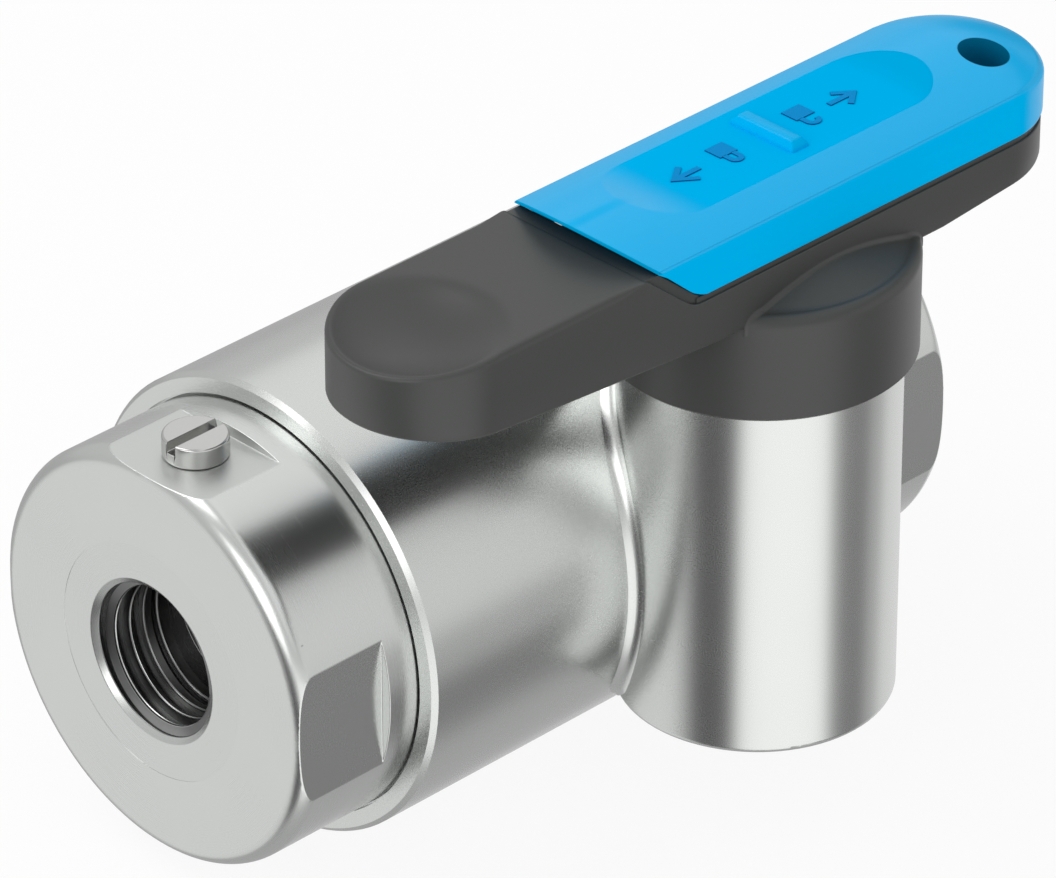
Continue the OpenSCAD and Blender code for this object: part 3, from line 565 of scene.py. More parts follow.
def thread_finish():
    """Steel painted dark as the shade inside the port, with a painted highlight along the crests and
    painted light on the flanks at the bottom.
    """
    finish = Finish("thread_cut_steel", Metallic=1.0, IOR=2.5, Roughness=0.3)
    _, y, z = finish.spot()
    # Painted highlight along the crests, and painted light on the flanks low in the port, over a base of
    # painted shade.
    crest_highlight = 1 - finish.ease(distance(y, z), PORT_R - 1.13, PORT_R - 1.03)
    low = finish.ease(0 - z, 7.5, 10.5)
    light = crest_highlight * 0.9 + low * (0.25 + 0.1 * finish.noise(finish.place(), 0.6))
    finish.feed("Base Color", finish.mix(light.maths("MINIMUM", 1.0), PORT_SHADE_STEEL, STEEL))
    return finish.material


thread_steel = thread_finish()
for name, face_x, inwards in (("inlet_thread", THREAD_INSET, 1),
                              ("outlet_thread", LENGTH - THREAD_INSET, -1)):
    fit_out(thread(name, face_x, inwards), "valve", "body_steel", None)

# %% [markdown]
# ## Caps and screw with soft edges
# No machined edge is truly sharp: a file or a tumbler breaks it by a tenth of a millimetre, and that
# narrow round is what draws the bright line along each edge. A copy of each cap gets such edges, and so
# does the screw, which is turned anew. Their normals are then weighted by area, so that flat faces stay
# flat to the eye.

# %% Soft edges
def soften(piece, width, chosen):
    """Rounds the sharp edges whose two ends are chosen, by a width in millimetres."""
    level, sharp = math.radians(0.4), math.radians(12)
    with edited(piece.data) as work:
        bmesh.ops.remove_doubles(work, verts=work.verts, dist=2e-6)
        bmesh.ops.dissolve_limit(work, angle_limit=level, verts=work.verts, edges=work.edges)
        edges = [e for e in work.edges if len(e.link_faces) == 2
                 and e.calc_face_angle(0.0) > sharp and chosen(e.verts[0].co, e.verts[1].co)]
        bmesh.ops.bevel(work, geom=edges, offset=width * MM, segments=3, profile=0.5, affect="EDGES",
                        clamp_overlap=False)
    shade(piece.data, 40.0)
    step = piece.modifiers.new("weights", "WEIGHTED_NORMAL")
    step.keep_sharp = True
    settle(piece, step)


def soft_cap(name, solid):
    """A copy of a cap with a fine spot face and soft outer edges."""
    mesh = solid.data.copy()
    mesh.transform(solid.matrix_world)
    piece = link(name, mesh)

    def from_end(place):
        return min(place.x, LENGTH * MM - place.x) / MM

    for v in mesh.vertices:
        if abs(from_end(v.co) - SPOT_DEEP) < 0.01 and v.co.yz.length < (SPOT_R + 0.7) * MM:
            outwards = 1 if v.co.x > LENGTH / 2 * MM else -1
            v.co.x += outwards * (SPOT_DEEP - SPOT_SEEN) * MM

    def outer(a, b):
        reach = [v.yz.length / MM for v in (a, b)]
        near_end = max(from_end(a), from_end(b)) < FLAT_LEN + 0.1
        on_spot_rim = SPOT_R - 0.3 < reach[0] < SPOT_R + 0.2
        return near_end and min(reach) > PORT_R - 0.1 and not on_spot_rim

    soften(piece, 0.13, outer)
    return piece


for name in ("inlet_cap", "outlet_cap"):
    fit_out(soft_cap(name + "_soft", nodes[name]), "valve", "body_steel", cap_steel, name)


def flat_screw(head_r=4.28, head_h=3.0, shank_r=2.5, length=10.0, slot=1.55, slot_deep=1.4):
    """A cheese-head screw that stands on the cap's upper flat, with its slot along the valve."""
    round_r, top = 0.35, FLAT_AT + head_h
    profile = [(0.0, FLAT_AT - length), (shank_r, FLAT_AT - length), (shank_r, FLAT_AT + 0.05)]
    profile += [(head_r - 0.3, FLAT_AT + 0.05), (head_r - 0.08, FLAT_AT + 0.14), (head_r, FLAT_AT + 0.35)]
    profile += arc(head_r - round_r, top - round_r, round_r, 0.0, 90.0, 10) + [(0.0, top)]
    piece = turned("flat_screw", profile, 96, (SCREW_X, 0.0))
    left, right, half = SCREW_X - 2 * head_r, SCREW_X + 2 * head_r, slot / 2
    corners = [(left, -half), (right, -half), (right, half), (left, half)]
    cut(piece, piece_from("slot", *grid([lifted(corners, top - slot_deep), lifted(corners, top + 2.0)])))
    soften(piece, 0.09, lambda a, b: min(a.z, b.z) > (FLAT_AT + 1.0) * MM)
    return piece


fit_out(flat_screw(), "valve", "hardware_steel", screw_steel, "cap_screw")

# %% [markdown]
# ## The fillet between tube and boss
# The boss is welded or cast to the tube with a small hollow fillet all round. A ball that touches both
# cylinders rolls along the seam: its centre lies on two larger cylinders, so its path has a formula,
# and the fillet's surface is the arc between its two points of contact.

# %% Seam fillet
def seam_fillet(size=1.3, steps=10):
    """The ball's surface along the seam. A station is the ball's centre, from the shaft, and its radius.

    Up the sides the angle round the tube leads, with a thin start, and over the top that round the boss."""
    stations = []
    thin, handover = 0.4, 48.0
    low = -math.degrees(math.asin(BOSS_BOTTOM / (BODY_R + size * thin)))
    for i, a in enumerate(spread(low, handover, 90)):
        radius = size * min(1.0, thin + 0.1 * i)
        tube, boss = BODY_R + radius, BOSS_R + radius
        y, z = -tube * math.cos(math.radians(a)), tube * math.sin(math.radians(a))
        dy = y - SHAFT_Y
        stations.append((-math.sqrt(max(0.0, boss ** 2 - dy ** 2)), dy, z, radius))
    start = math.degrees(math.atan2(stations[-1][1], stations[-1][0]))
    for a in spread(start, 90.0, 60)[1:]:
        tube, boss = BODY_R + size, BOSS_R + size
        dx, dy = boss * math.cos(math.radians(a)), boss * math.sin(math.radians(a))
        stations.append((dx, dy, math.sqrt(max(0.0, tube ** 2 - (dy + SHAFT_Y) ** 2)), size))
    stations += [(-x, y, z, r) for x, y, z, r in stations[-2::-1]]
    rows = []
    for x, dy, z, radius in stations:
        centre = Vector((x + SHAFT_X, dy + SHAFT_Y, z))
        shrink = BODY_R / (BODY_R + radius)
        on_tube = Vector((centre.x, centre.y * shrink, centre.z * shrink))
        shrink = BOSS_R / (BOSS_R + radius)
        on_boss = Vector((SHAFT_X + x * shrink, SHAFT_Y + dy * shrink, z))
        a, b = (on_tube - centre) / radius, (on_boss - centre) / radius
        middle = (on_tube + on_boss) * 0.5
        row = rolled(centre, a, b, radius, steps) + [middle - (centre - middle) * 0.6]
        rows.append([tuple(point) for point in row])
    return piece_from("seam_fillet", *grid(rows), sharp=70.0)


fit_out(seam_fillet(), "valve", "body_steel", body_steel)

# %% [markdown]
# ## The lever's bar
# The lever is one moulding: a bar with round ends, thick at the hub and thinner towards the thumb, with
# a hollow for the thumb in its long end. Its outline is a stadium, so the mesh is a set of stadiums
# inside each other. On the straight sides the points keep their place along the bar from ring to
# ring, and every height is a rule of that place.

# %% Stadium rings
def stadium(r, stations, both_ends=True):
    """A ring of points: right along the -Y side, round the right end, back, and round the left end."""
    ring = [(x, -r) for x in stations]
    ring += arc(SHORT_C, 0.0, r, -90.0, 90.0, 40)[1:-1]
    ring += [(x, r) for x in reversed(stations)]
    if both_ends:
        ring += arc(LONG_C, 0.0, r, 90.0, 270.0, 40)[1:-1]
    return ring


def lever_top(x, y):
    """Height of the lever's top: flat, then the sloped face, then the ledge under the slide."""
    slope = LEDGE_Z + (SLOPE_FOOT - x) * (LEVER_TOP - LEDGE_Z) / (SLOPE_FOOT - SLOPE_TOP)
    top = soft_min(LEVER_TOP, slope, 0.35)
    top = -soft_min(-top, -LEDGE_Z, 1.2)
    hollow_x, hollow_r, hollow_deep = -61.2, 25.0, 3.0
    d2 = (x - hollow_x) ** 2 + y ** 2
    if d2 < hollow_r ** 2:
        bowl = LEVER_TOP + hollow_r - hollow_deep - math.sqrt(hollow_r ** 2 - d2)
        top = soft_min(top, bowl, 0.5)
    return top


def lever_under(x, y=0.0):
    """Height of the lever's underside: deep at the hub, and rising to both ends."""
    if x < -HUB_R:
        return UNDER_HUB + (UNDER_TIP - UNDER_HUB) * (-HUB_R - x) / (LONG_END - HUB_R)
    if x > HUB_R:
        return UNDER_HUB + (UNDER_SHORT - UNDER_HUB) * (x - HUB_R) / (SHORT_END - HUB_R)
    return UNDER_HUB


def edge_rounding(r, steps):
    """(inset, drop) pairs of a rounded rim, from the wall to the top."""
    return [(r - r * math.cos(a), r - r * math.sin(a))
            for a in (math.pi / 2 * i / steps for i in range(steps + 1))]


def lever_bar():
    marks = [LONG_C, SLOPE_TOP - 1.2, SLOPE_TOP + 1.2, SLOPE_FOOT - 0.8, SLOPE_FOOT + 0.8, SHORT_C]
    stations = []
    for a, b, steps in zip(marks, marks[1:], (24, 6, 8, 6, 40)):
        stations += spread(a, b, steps)[:-1]
    stations.append(SHORT_C)
    rows = []

    def add(inset, height):
        rows.append(lifted(stadium(max(LEVER_R - inset, 0.0), stations), height))

    def round_top(inset, drop):
        """A ring of the upper rim, which is well rounded on the long arm and crisp round the ledge."""
        ring = []
        for x, y in stadium(LEVER_R, stations):
            size = 0.18 + 0.72 * max(0.0, min(1.0, (SLOPE_TOP - 0.5 - x) / 4.0))
            middle = max(LONG_C, min(SHORT_C, x))
            keep = 1.0 - inset * size / LEVER_R
            x, y = middle + (x - middle) * keep, y * keep
            ring.append((x, y, lever_top(x, y) - drop * size))
        rows.append(ring)

    for inset in (LEVER_R, 6.0, 1.5):
        add(inset, lever_under)
    for inset, drop in reversed(edge_rounding(0.5, 3)):
        add(inset, lambda x, y, d=drop: lever_under(x) + d)
    add(0.0, lambda x, y: (lever_under(x) + lever_top(x, y)) / 2)
    for inset, drop in edge_rounding(1.0, 6):
        round_top(inset, drop)
    for inset in spread(1.2, LEVER_R, 26):
        add(inset, lever_top)
    return on_lever("lever_bar", rows, 40.0, False, False)


bar = lever_bar()

# %% [markdown]
# The bar is hollow underneath, as a thick moulding must be: pockets in two rows leave an even wall and
# ribs between them. Each pocket is a box with slightly drafted sides, cut out of the bar.

# %% Pockets under the bar
def tapered_box(name, x0, x1, y0, y1, z0, z1, draft=0.25):
    rows = []
    for z, d in ((z0, 0.0), (z1 - 0.6, draft), (z1, draft + 0.6)):
        rows.append([(x0 + d, y0 + d, z), (x1 - d, y0 + d, z), (x1 - d, y1 - d, z), (x0 + d, y1 - d, z)])
    return on_lever(name, rows)


WALL, RIB, ROOF = 2.4, 1.6, 6.0
TOOL_LOW, TOOL_HIGH = 40.0, 70.0
first, last, half = LONG_C + 1.0, -HUB_R - WALL, LEVER_R - WALL
pitch = (last - first + RIB) / 4
for i in range(4):
    for side in (0, 1):
        x0, y0 = first + pitch * i, side * (half + RIB / 2) - half
        cut(bar, tapered_box("pocket", x0, x0 + pitch - RIB, y0, y0 + half - RIB / 2, TOOL_LOW,
                             LEVER_TOP - ROOF))


def shackle_hole(shift):
    """A tool for the padlock's hole, which goes through the slide and the bar."""
    profile = [(0.0, TOOL_LOW), (HOLE_R, TOOL_LOW), (HOLE_R, TOOL_HIGH), (0.0, TOOL_HIGH)]
    return turned("hole", profile, 96, (SHAFT_X + HOLE_X + shift, SHAFT_Y + HOLE_Y))


cut(bar, shackle_hole(-SLIDE_TRAVEL))
shade(bar.data, 30.0)
fit_out(bar, "handle", "lever_plastic", lever_plastic, "lever")

# %% [markdown]
# ## The hub and the lip
# The hub is a cup that hangs over the boss and hides the stop plate. Where it meets the bar, the mould
# has a hollow fillet, which catches a soft light line. Under the slide the bar has a thin raised lip,
# set in a little, that shows as a fine shadow line between lever and slide.

# %% Hub, fillets and lip
def hub_shoulder():
    """The hub's upper outline as (radius, height, outward normal), from its wall over the rim and up."""
    rim_r, out = 1.5, [(HUB_R, z, 1.0, 0.0) for z in (44.0, 44.6)]
    for a in spread(0.0, 92.0, 9):
        c, s = math.cos(math.radians(a)), math.sin(math.radians(a))
        out.append((HUB_R - rim_r + rim_r * c, HUB_TOP - rim_r + rim_r * s, c, s))
    foot_r, foot_z = HUB_R - rim_r - 0.35, HUB_TOP + 0.02
    rise = HUB_PEAK - foot_z
    slope = math.atan2(rise, foot_r - LEVER_R)
    for t in spread(0.0, 1.1, 10):
        out.append((foot_r - t * (foot_r - LEVER_R), foot_z + rise * t, math.sin(slope), math.cos(slope)))
    return out


def hub_profile():
    """The cup's section: its roof and inner wall, its foot, its shoulder and the middle of its top."""
    inner = [(0.0, CUP_ROOF), (CUP_R - 0.2, CUP_ROOF), (CUP_R, CUP_ROOF - 0.2), (CUP_R, HUB_FOOT + 0.2)]
    foot = [(CUP_R + 0.2, HUB_FOOT), (HUB_R - 0.4, HUB_FOOT), (HUB_R, HUB_FOOT + 0.4)]
    top = [(r, z) for r, z, *_ in hub_shoulder()]
    return inner + foot + top + [(0.0, top[-1][1])]


fit_out(turned("lever_hub", hub_profile(), 160), "handle", "lever_plastic", lever_plastic)


def hub_fillet(name, side, radius=0.75, steps=7):
    """The hollow that a small ball leaves as it rolls along between the bar's side and the hub."""
    plane, path = LEVER_R + radius, []
    for r, z, nr, nz in hub_shoulder():
        reach = r + radius * nr
        if reach > plane:
            path.append((math.sqrt(reach ** 2 - plane ** 2), z + radius * nz, nr, nz))
        else:
            path.append((0.0, HUB_PEAK + (radius - (plane - LEVER_R) * nr) / nz, nr, nz))
            break
    path += [(-x, z, nr, nz) for x, z, nr, nz in path[-2::-1]]
    rows = []
    for x, z, nr, nz in path:
        centre = Vector((x, plane, z))
        flat = centre.xy.normalized()
        a, b = Vector((0.0, -1.0, 0.0)), Vector((-flat.x * nr, -flat.y * nr, -nz))
        row = rolled(centre, a, b, radius - 0.004, steps)
        row.append(centre + (a + b).normalized() * radius * 2.0)
        rows.append([(spot.x, side * spot.y, spot.z) for spot in row])
    return on_lever(name, rows, 50.0)


for name, side in (("hub_fillet_near", -1), ("hub_fillet_far", 1)):
    fit_out(hub_fillet(name, side), "handle", "lever_plastic", lever_plastic)


def lip():
    stations = [SLOPE_FOOT + 0.6] + spread(SLOPE_FOOT + 2.0, SHORT_C, 12)
    profile = ((0.3, LEDGE_Z - 0.3), (0.3, LIP_TOP - 0.1), (0.4, LIP_TOP), (6.0, LIP_TOP))
    return on_lever("lever_lip", [lifted(stadium(LEVER_R - inset, stations, False), z)
                                  for inset, z in profile])


lever_lip = lip()
cut(lever_lip, shackle_hole(-SLIDE_TRAVEL))
fit_out(lever_lip, "handle", "lever_plastic", lever_plastic)


def lever_pad():
    """The raised pad on the sloped face, with a crisp top edge and its two sides a little eased."""
    foot = LEDGE_Z - 0.5
    outline = [(SLOPE_FOOT - 6.0, foot), (SLOPE_TOP + 1.5, PAD_TOP - 1.5), (PAD_X - PAD_RUN, PAD_TOP),
               (PAD_X - 0.08, PAD_TOP), (PAD_X + 0.01, PAD_TOP - 0.03)]
    outline += [(PAD_X + SLOPE_LEAN * (PAD_TOP - z), z) for z in (PAD_TOP - 0.1, foot)]
    rows = []
    for y in (-PAD_HALF, -PAD_HALF + 0.1, PAD_HALF - 0.1, PAD_HALF):
        sink = 0.1 if abs(y) == PAD_HALF else 0.0
        rows.append([(x - sink * (i > 1), y, z - sink * (i > 1)) for i, (x, z) in enumerate(outline)])
    return on_lever("lever_pad", rows, 25.0)


fit_out(lever_pad(), "handle", "lever_plastic", lever_plastic)

# %% [markdown]
# ## The locking slide
# The slide is a crowned cover. Its top is an arch that runs along the bar and turns into a dome of the
# same curve over the short end, so its edge keeps one height all the way round. The finger recess is a
# stadium with a flat floor, which meets the arch along its sides and ramps up to it at both ends. The
# mesh runs in rings from the outer rim to the edge of the recess and on to its middle, so both outlines
# are clean.

# %% Slide
CROWN_R = (SLIDE_R ** 2 + (SLIDE_TOP - SLIDE_EDGE) ** 2) / (2 * (SLIDE_TOP - SLIDE_EDGE))


def slide_top(x, y):
    """Height of the crown, from the distance to the slide's middle line."""
    away = math.hypot(max(0.0, x - SHORT_C), y)
    return SLIDE_TOP - CROWN_R + math.sqrt(CROWN_R ** 2 - away ** 2)


def recess_floor(x, y):
    """Height of the recess: flat, then ramped up to the crown at the round ends."""
    away = abs(x - RECESS_X) - RECESS_HALF
    ramp = min(1.0, max(0.0, away / math.sqrt(max(RECESS_R ** 2 - y ** 2, 0.01))))
    top = slide_top(x, y)
    return min(top, RECESS_FLOOR + ramp * max(0.0, top - RECESS_FLOOR))


SIDE_STEPS, END_STEPS, CORNER_STEPS = 64, 56, 4


def outer_ring(inset, left, corner=0.15, tip=0.0):
    """The slide's outline: the sloped end, the near side, the round end and the far side.

    left gives where the end stands at each y, and tip how much further the round end stands in."""
    r = SLIDE_R - inset
    c = max(corner - inset, 0.05)
    x0 = left(r) + inset + c
    ring = [(left(y) + inset, y) for y in spread(r - c, c - r, END_STEPS - 2 * CORNER_STEPS)]
    ring += arc(x0, c - r, c, 180.0, 270.0, CORNER_STEPS)[1:]
    ring += [(x, -r) for x in spread(x0, SHORT_C, SIDE_STEPS)[1:]]
    for a in spread(-90.0, 90.0, END_STEPS)[1:]:
        pull = math.cos(math.radians(a)) ** 0.5 if abs(a) < 90 else 0.0
        ring += arc(SHORT_C, 0.0, r - tip * pull, a, a, 1)[:1]
    ring += [(x, r) for x in spread(SHORT_C, x0, SIDE_STEPS)[1:]]
    ring += arc(x0, r - c, c, 90.0, 180.0, CORNER_STEPS)[1:-1]
    return ring[1 - CORNER_STEPS:] + ring[:1 - CORNER_STEPS]


def recess_ring(r):
    left, right = RECESS_X - RECESS_HALF, RECESS_X + RECESS_HALF
    ring = arc(left, 0.0, r, 90.0, 270.0, END_STEPS)
    ring += [(x, -r) for x in spread(left, right, SIDE_STEPS)[1:]]
    ring += arc(right, 0.0, r, -90.0, 90.0, END_STEPS)[1:]
    ring += [(x, r) for x in spread(right, left, SIDE_STEPS)[1:-1]]
    return ring


def end_x(z):
    """Where the sloped end stands at a height, its lower corner rounded."""
    low = max(0.0, SLIDE_Z + 1.3 - z)
    return SLIDE_FOOT - SLIDE_LEAN * (z - SLIDE_Z) + 0.75 * low ** 2


def slide_cover():
    def crest(y):
        return end_x(slide_top(0.0, y))

    sides = [(0.3, SLIDE_Z), (0.08, SLIDE_Z + 0.08), (0.0, SLIDE_Z + 0.3)]
    sides += [(0.0, z) for z in spread(SLIDE_Z + 0.6, SLIDE_EDGE - 1.2, 8)]
    rows = [lifted(outer_ring(inset, lambda y: end_x(z)), z) for inset, z in sides]

    # The rim: a fine step along the two sides, and a round at the sloped end and the short end.
    tip, end_size = 0.8, 0.3
    step = [(0.0, 0.3), (0.02, 0.15), (0.06, 0.11), (0.16, 0.105), (0.26, 0.1), (0.275, 0.08),
            (0.29, 0.02), (0.33, 0.0)]
    for (inset, drop), (away, fall) in zip(step, edge_rounding(1.0, 7)):
        row = []
        for x, y in outer_ring(inset, crest, tip=(1.0 + tip) * away * 0.5):
            round_share = max(0.0, min(1.0, (x - SHORT_C) / 5.0))
            size = 0.35 + tip * max(0.0, x - SHORT_C) / SLIDE_R
            if x < crest(y) + inset + 0.001:
                x, round_share, size = crest(y) + end_size * away, 1.0, end_size
            z = slide_top(x, y) - drop * (1 - round_share) - fall * size * round_share
            row.append((x, y, z))
        rows.append(row)

    # The crown, from the rim to the edge of the recess, and the recess down to its middle.
    inner, outer = recess_ring(RECESS_R + 0.8), outer_ring(0.5, crest, tip=tip)
    for t in spread(0.0, 1.0, 22):
        ring = [(a[0] + (b[0] - a[0]) * t, a[1] + (b[1] - a[1]) * t) for a, b in zip(outer, inner)]
        rows.append(lifted(ring, slide_top))
    for r in (RECESS_R + 0.4, RECESS_R + 0.15):
        rows.append(lifted(recess_ring(r), slide_top))
    for r in spread(RECESS_R, 0.0, 16):
        rows.append(lifted(recess_ring(r), recess_floor))
    return on_lever("slide_cover", rows, 40.0, cap_last=False)


def pad_room():
    """A tool that leaves room under the slide for the lever's pad, also when the slide is locked."""
    edge, roof, far, deep = PAD_X + SLIDE_TRAVEL + 0.3, PAD_TOP + 0.15, -40.0, 50.0
    outline = [(far, deep), (far, roof), (edge, roof), (edge + SLOPE_LEAN * (PAD_TOP - deep), deep)]
    half = PAD_HALF + 0.2
    return on_lever("pad_room", [[(x, y, z) for x, z in outline] for y in (-half, half)], 20.0)


cover = slide_cover()
cut(cover, pad_room())
cut(cover, shackle_hole(0.0))
shade(cover.data, 16.0)
fit_out(cover, "slide", "slide_plastic", slide_plastic, "lock_slide")

# %% [markdown]
# ## The grip rib and the signs
# A bevelled rib across the recess gives the thumb a hold. Beside it stand two signs, a closed and an
# open padlock, each with an arrow that says which way to push. They are raised by a sixth of a
# millimetre, with a face in a deeper blue than the slide, and walls coloured darker still as painted shade.

# %% Grip rib
def grip_rib(length=11.2, width=3.0, foot=60.0, top=62.3):
    half_l, half_w = length / 2, width / 2
    rows = []
    for inset, z in ((0.0, foot), (0.0, RECESS_FLOOR + 0.25), (0.12, RECESS_FLOOR + 0.5), (0.7, top - 0.25),
                     (0.85, top - 0.08), (1.05, top)):
        w, l = half_w - inset * 0.75, half_l - inset * 0.9
        ring = []
        for cx, cy, a in ((w - 0.3, l - 0.5, 0), (0.3 - w, l - 0.5, 90), (0.3 - w, 0.5 - l, 180),
                          (w - 0.3, 0.5 - l, 270)):
            ring += arc(cx, cy, 0.3, a, a + 90, 5)
        rows.append([(x + RECESS_X - 0.1, y, z) for x, y in ring])
    return on_lever("grip_rib", rows, 30.0)


fit_out(grip_rib(), "slide", "slide_plastic", slide_plastic)


# %% Signs
def strip(points, width):
    """A flat band of even width along a line of points, mitred at its bends."""
    left, right = [], []
    for i, (x, y) in enumerate(points):
        ax, ay = points[max(i - 1, 0)]
        bx, by = points[min(i + 1, len(points) - 1)]
        length = math.hypot(bx - ax, by - ay)
        ux, uy, reach = (bx - ax) / length, (by - ay) / length, width / 2
        if 0 < i < len(points) - 1:
            reach /= max(0.5, ((x - ax) * ux + (y - ay) * uy) / math.hypot(x - ax, y - ay))
        left.append((x - uy * reach, y + ux * reach))
        right.append((x + uy * reach, y - ux * reach))
    return left + right[::-1]


def raised(name, outlines, height=0.16):
    """Flat outlines stood up from the recess's floor, as one piece with two finishes: a deeper blue face,
    and walls in painted shade.
    """
    points, faces, tops = [], [], []
    for outline in outlines:
        more, sides = grid([lifted(outline, RECESS_FLOOR - 0.1), lifted(outline, RECESS_FLOOR + height)])
        faces += [[len(points) + i for i in side] for side in sides]
        tops.append(len(faces) - 1)
        points += more
    mesh = bpy.data.meshes.new(name)
    mesh.from_pydata([[c * MM for c in p] for p in from_shaft(points)], [], faces)
    mesh.materials.append(sign_wall_shade)
    mesh.materials.append(sign_face)
    for i in tops:
        mesh.polygons[i].material_index = 1
    with edited(mesh) as work:
        bmesh.ops.recalc_face_normals(work, faces=work.faces)
    return link(name, mesh)


def arrow(tip, tail, barb, half, width=0.8):
    """An arrow along X as one outline: its shaft and the two strokes of its head."""
    way = 1.0 if tail > tip else -1.0
    length = math.hypot(barb - tip, half)
    sine, cosine = half / length, abs(barb - tip) / length
    inner = tip + way * (width / sine + width / 2 * cosine / sine)
    upper = [(tip, 0.0), (barb, half), (barb + way * width * sine, half - width * cosine),
             (inner, width / 2), (tail, width / 2)]
    return [upper + [(x, -y) for x, y in upper[:0:-1]]]


def padlock(left, right, is_open):
    """A padlock that stands across the slide: a block towards +Y, its shackle towards -Y."""
    block = [(left, -0.15), (right, -0.15), (right, 2.6), (left, 2.6)]
    x, bow_r = (left + right) / 2, (right - left) / 2 - 0.75
    bow = arc(x, -1.25, bow_r, 180.0, 360.0, 12)
    foot = [] if is_open else [(x + bow_r, -0.1)]
    return [block, strip([(x - bow_r, -0.1)] + bow + foot, 0.75)]


signs = padlock(-7.9, -4.9, False) + padlock(5.7, 8.9, True)
signs += arrow(-16.5, -11.5, -13.5, 2.2) + arrow(16.7, 11.6, 14.0, 2.1)
fit_out(raised("lock_signs", signs), "slide", "slide_plastic", None)

# %% [markdown]
# ## Camera
# The picture is taken with a long lens from the front left and above, so upright lines stay upright
# and the two ends of the tube are nearly the same size.

# %% Camera
AZIMUTH, ELEVATION, DISTANCE, FOCAL = -44.481, 31.301, 885.6, 261.85
TARGET = Vector((-1.846, -69.333, 63.529))
az, el = math.radians(AZIMUTH), math.radians(ELEVATION)
back = Vector((math.sin(az) * math.cos(el), -math.cos(az) * math.cos(el), math.sin(el)))
camera_data = bpy.data.cameras.new("camera")
camera_data.lens, camera_data.sensor_width, camera_data.sensor_fit = FOCAL, 36.0, "HORIZONTAL"
camera_data.clip_start, camera_data.clip_end = 0.05, 20.0
camera = link("camera", camera_data)
camera.location = (TARGET + back * DISTANCE) * MM
camera.rotation_euler = back.to_track_quat("Z", "Y").to_euler()
bpy.context.scene.camera = camera

# %% [markdown]
# ## Floor and light
# Steel shows what stands round it more than its own colour, so the light is built as in a studio: a
# white room, large soft lamps, and grey cards out of the picture that give the metal its dark bands.
# The cards are seen by reflections alone.

# %% Floor
def stage_material(name, tone, lift):
    """A pale floor. The camera sees it nearly white, and reflections see the room through it."""
    material = bpy.data.materials.new(name)
    material.use_nodes = True
    tree = material.node_tree
    tree.nodes.remove(tree.nodes["Principled BSDF"])
    wiring = Wiring(tree)
    seen = wiring.node("ShaderNodeLightPath", out="Is Camera Ray") * lift
    mirrored = wiring.node("ShaderNodeLightPath", out="Is Glossy Ray")
    diffuse = wiring.node("ShaderNodeBsdfDiffuse", {}, {"Color": tone})
    glow = wiring.node("ShaderNodeEmission", {}, {"Color": (1, 1, 1, 1)})
    clear = wiring.node("ShaderNodeBsdfTransparent")
    pale = wiring.node("ShaderNodeMixShader", {}, {0: seen, 1: diffuse, 2: glow})
    shown = wiring.node("ShaderNodeMixShader", {}, {0: mirrored, 1: pale, 2: clear})
    tree.links.new(shown.socket, tree.nodes["Material Output"].inputs["Surface"])
    return material


def floor_sheet(size=6000.0):
    corners = [(-size, -size), (size, -size), (size, size), (-size, size)]
    piece = piece_from("floor", lifted(corners, FLOOR_Z), [[0, 1, 2, 3]], closed=False)
    piece.data.materials.append(stage_material("floor_white", (0.9, 0.9, 0.9, 1), 0.9))
    return piece


floor = floor_sheet()


# %% Lamps
CENTRE, LAMP_SIZE = Vector((58.0, -15.0, 10.0)), 500


def lamp(name, place, power):
    """A square lamp that faces the middle of the valve."""
    data = bpy.data.lights.new(name, "AREA")
    data.shape, data.size, data.size_y = "RECTANGLE", LAMP_SIZE * MM, LAMP_SIZE * MM
    data.energy = power
    lit = link(name, data)
    lit.location = Vector(place) * MM
    lit.rotation_euler = (Vector(place) - CENTRE).to_track_quat("Z", "Y").to_euler()


lamp("key", (-250, 300, 700), 1.6)
lamp("side", (-700, -250, 260), 1.2)

# %% [markdown]
# ## The room that the metal mirrors
# Each soft card is a rectangle far away, given by where its middle stands in the sky, half its width
# and height in degrees, how soft its rim is, and how bright it is. Later cards cover earlier ones.
# The dark ones are the gaps between the soft boxes, which draw the bands on the cylinders. Only
# reflections see them; matt surfaces are lit by an even white sky.

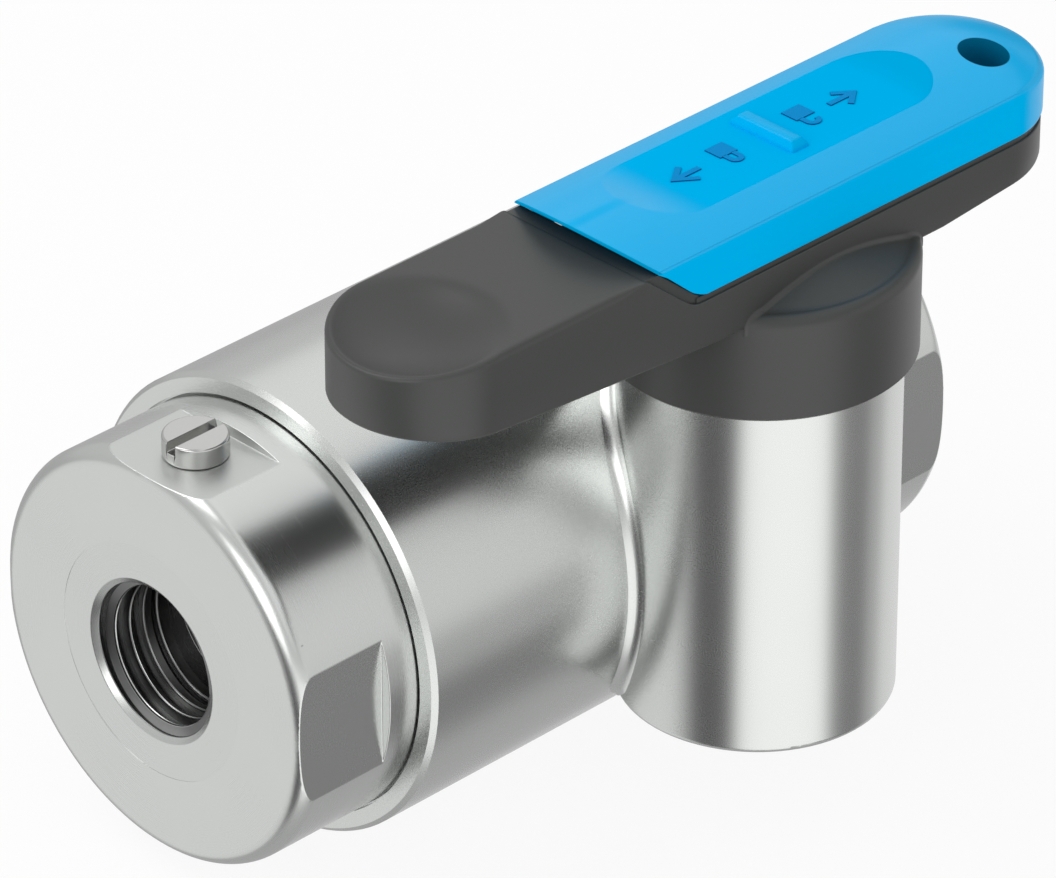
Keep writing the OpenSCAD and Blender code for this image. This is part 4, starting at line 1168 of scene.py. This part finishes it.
# %% Cards
CARDS = [
    (-113, -31, 31, 30, 9, 1.25),
    (-172, -31, 15, 28, 8, 0.10),
    (134, -31, 22, 30, 8, 0.85),
    (-52, -40, 13, 14, 8, 0.20),
    (15, -31, 28, 16, 10, 0.85),
    (-50, 14, 40, 22, 8, 0.80),
    (28, 4, 14, 9, 8, 0.10),
    (45, 31, 30, 14, 8, 0.62),
    (-34, 64, 70, 22, 4, 0.95),
    (-34, 43.5, 60, 5.5, 3, 0.0),
]
BELOW, ABOVE, SKY = 0.48, 0.62, 0.75
DEGREES = 180 / math.pi

world = bpy.data.worlds.new("studio")
bpy.context.scene.world = world
world.use_nodes = True
sky = Wiring(world.node_tree)
x, y, z = sky.parts(sky.node("ShaderNodeTexCoord", out="Generated"))


def card_mask(azimuth, elevation, half_width, half_height, rim):
    """1 where a direction meets the card, and 0 outside it."""
    a, e = math.radians(azimuth), math.radians(elevation)
    ahead = x * (math.cos(a) * math.cos(e)) + y * (math.sin(a) * math.cos(e)) + z * math.sin(e)
    across = y * math.cos(a) - x * math.sin(a)
    up = z * math.cos(e) - x * (math.cos(a) * math.sin(e)) - y * (math.sin(a) * math.sin(e))
    flank = across.maths("ABSOLUTE").maths("ARCTAN2", ahead) * DEGREES
    height = up.maths("ABSOLUTE").maths("ARCTAN2", ahead) * DEGREES
    wide = 1 - sky.ease(flank, half_width - rim / 2, half_width + rim / 2)
    high = 1 - sky.ease(height, half_height - rim / 2, half_height + rim / 2)
    return wide * high


level = BELOW + (ABOVE - BELOW) * sky.ease(z, -0.1, 0.1)
for *form, bright in CARDS:
    level = level + card_mask(*form) * (bright - level)
glossy = sky.node("ShaderNodeLightPath", out="Is Glossy Ray")
camera_ray = sky.node("ShaderNodeLightPath", out="Is Camera Ray")
strength = SKY + glossy * (level - SKY) + camera_ray * (1 - SKY)
background = sky.tree.nodes["Background"]
background.inputs["Color"].default_value = (1, 1, 1, 1)
sky.tree.links.new(strength.socket, background.inputs["Strength"])
bpy.context.scene.view_settings.view_transform = "Standard"
print(len(CARDS), "soft cards in the room")
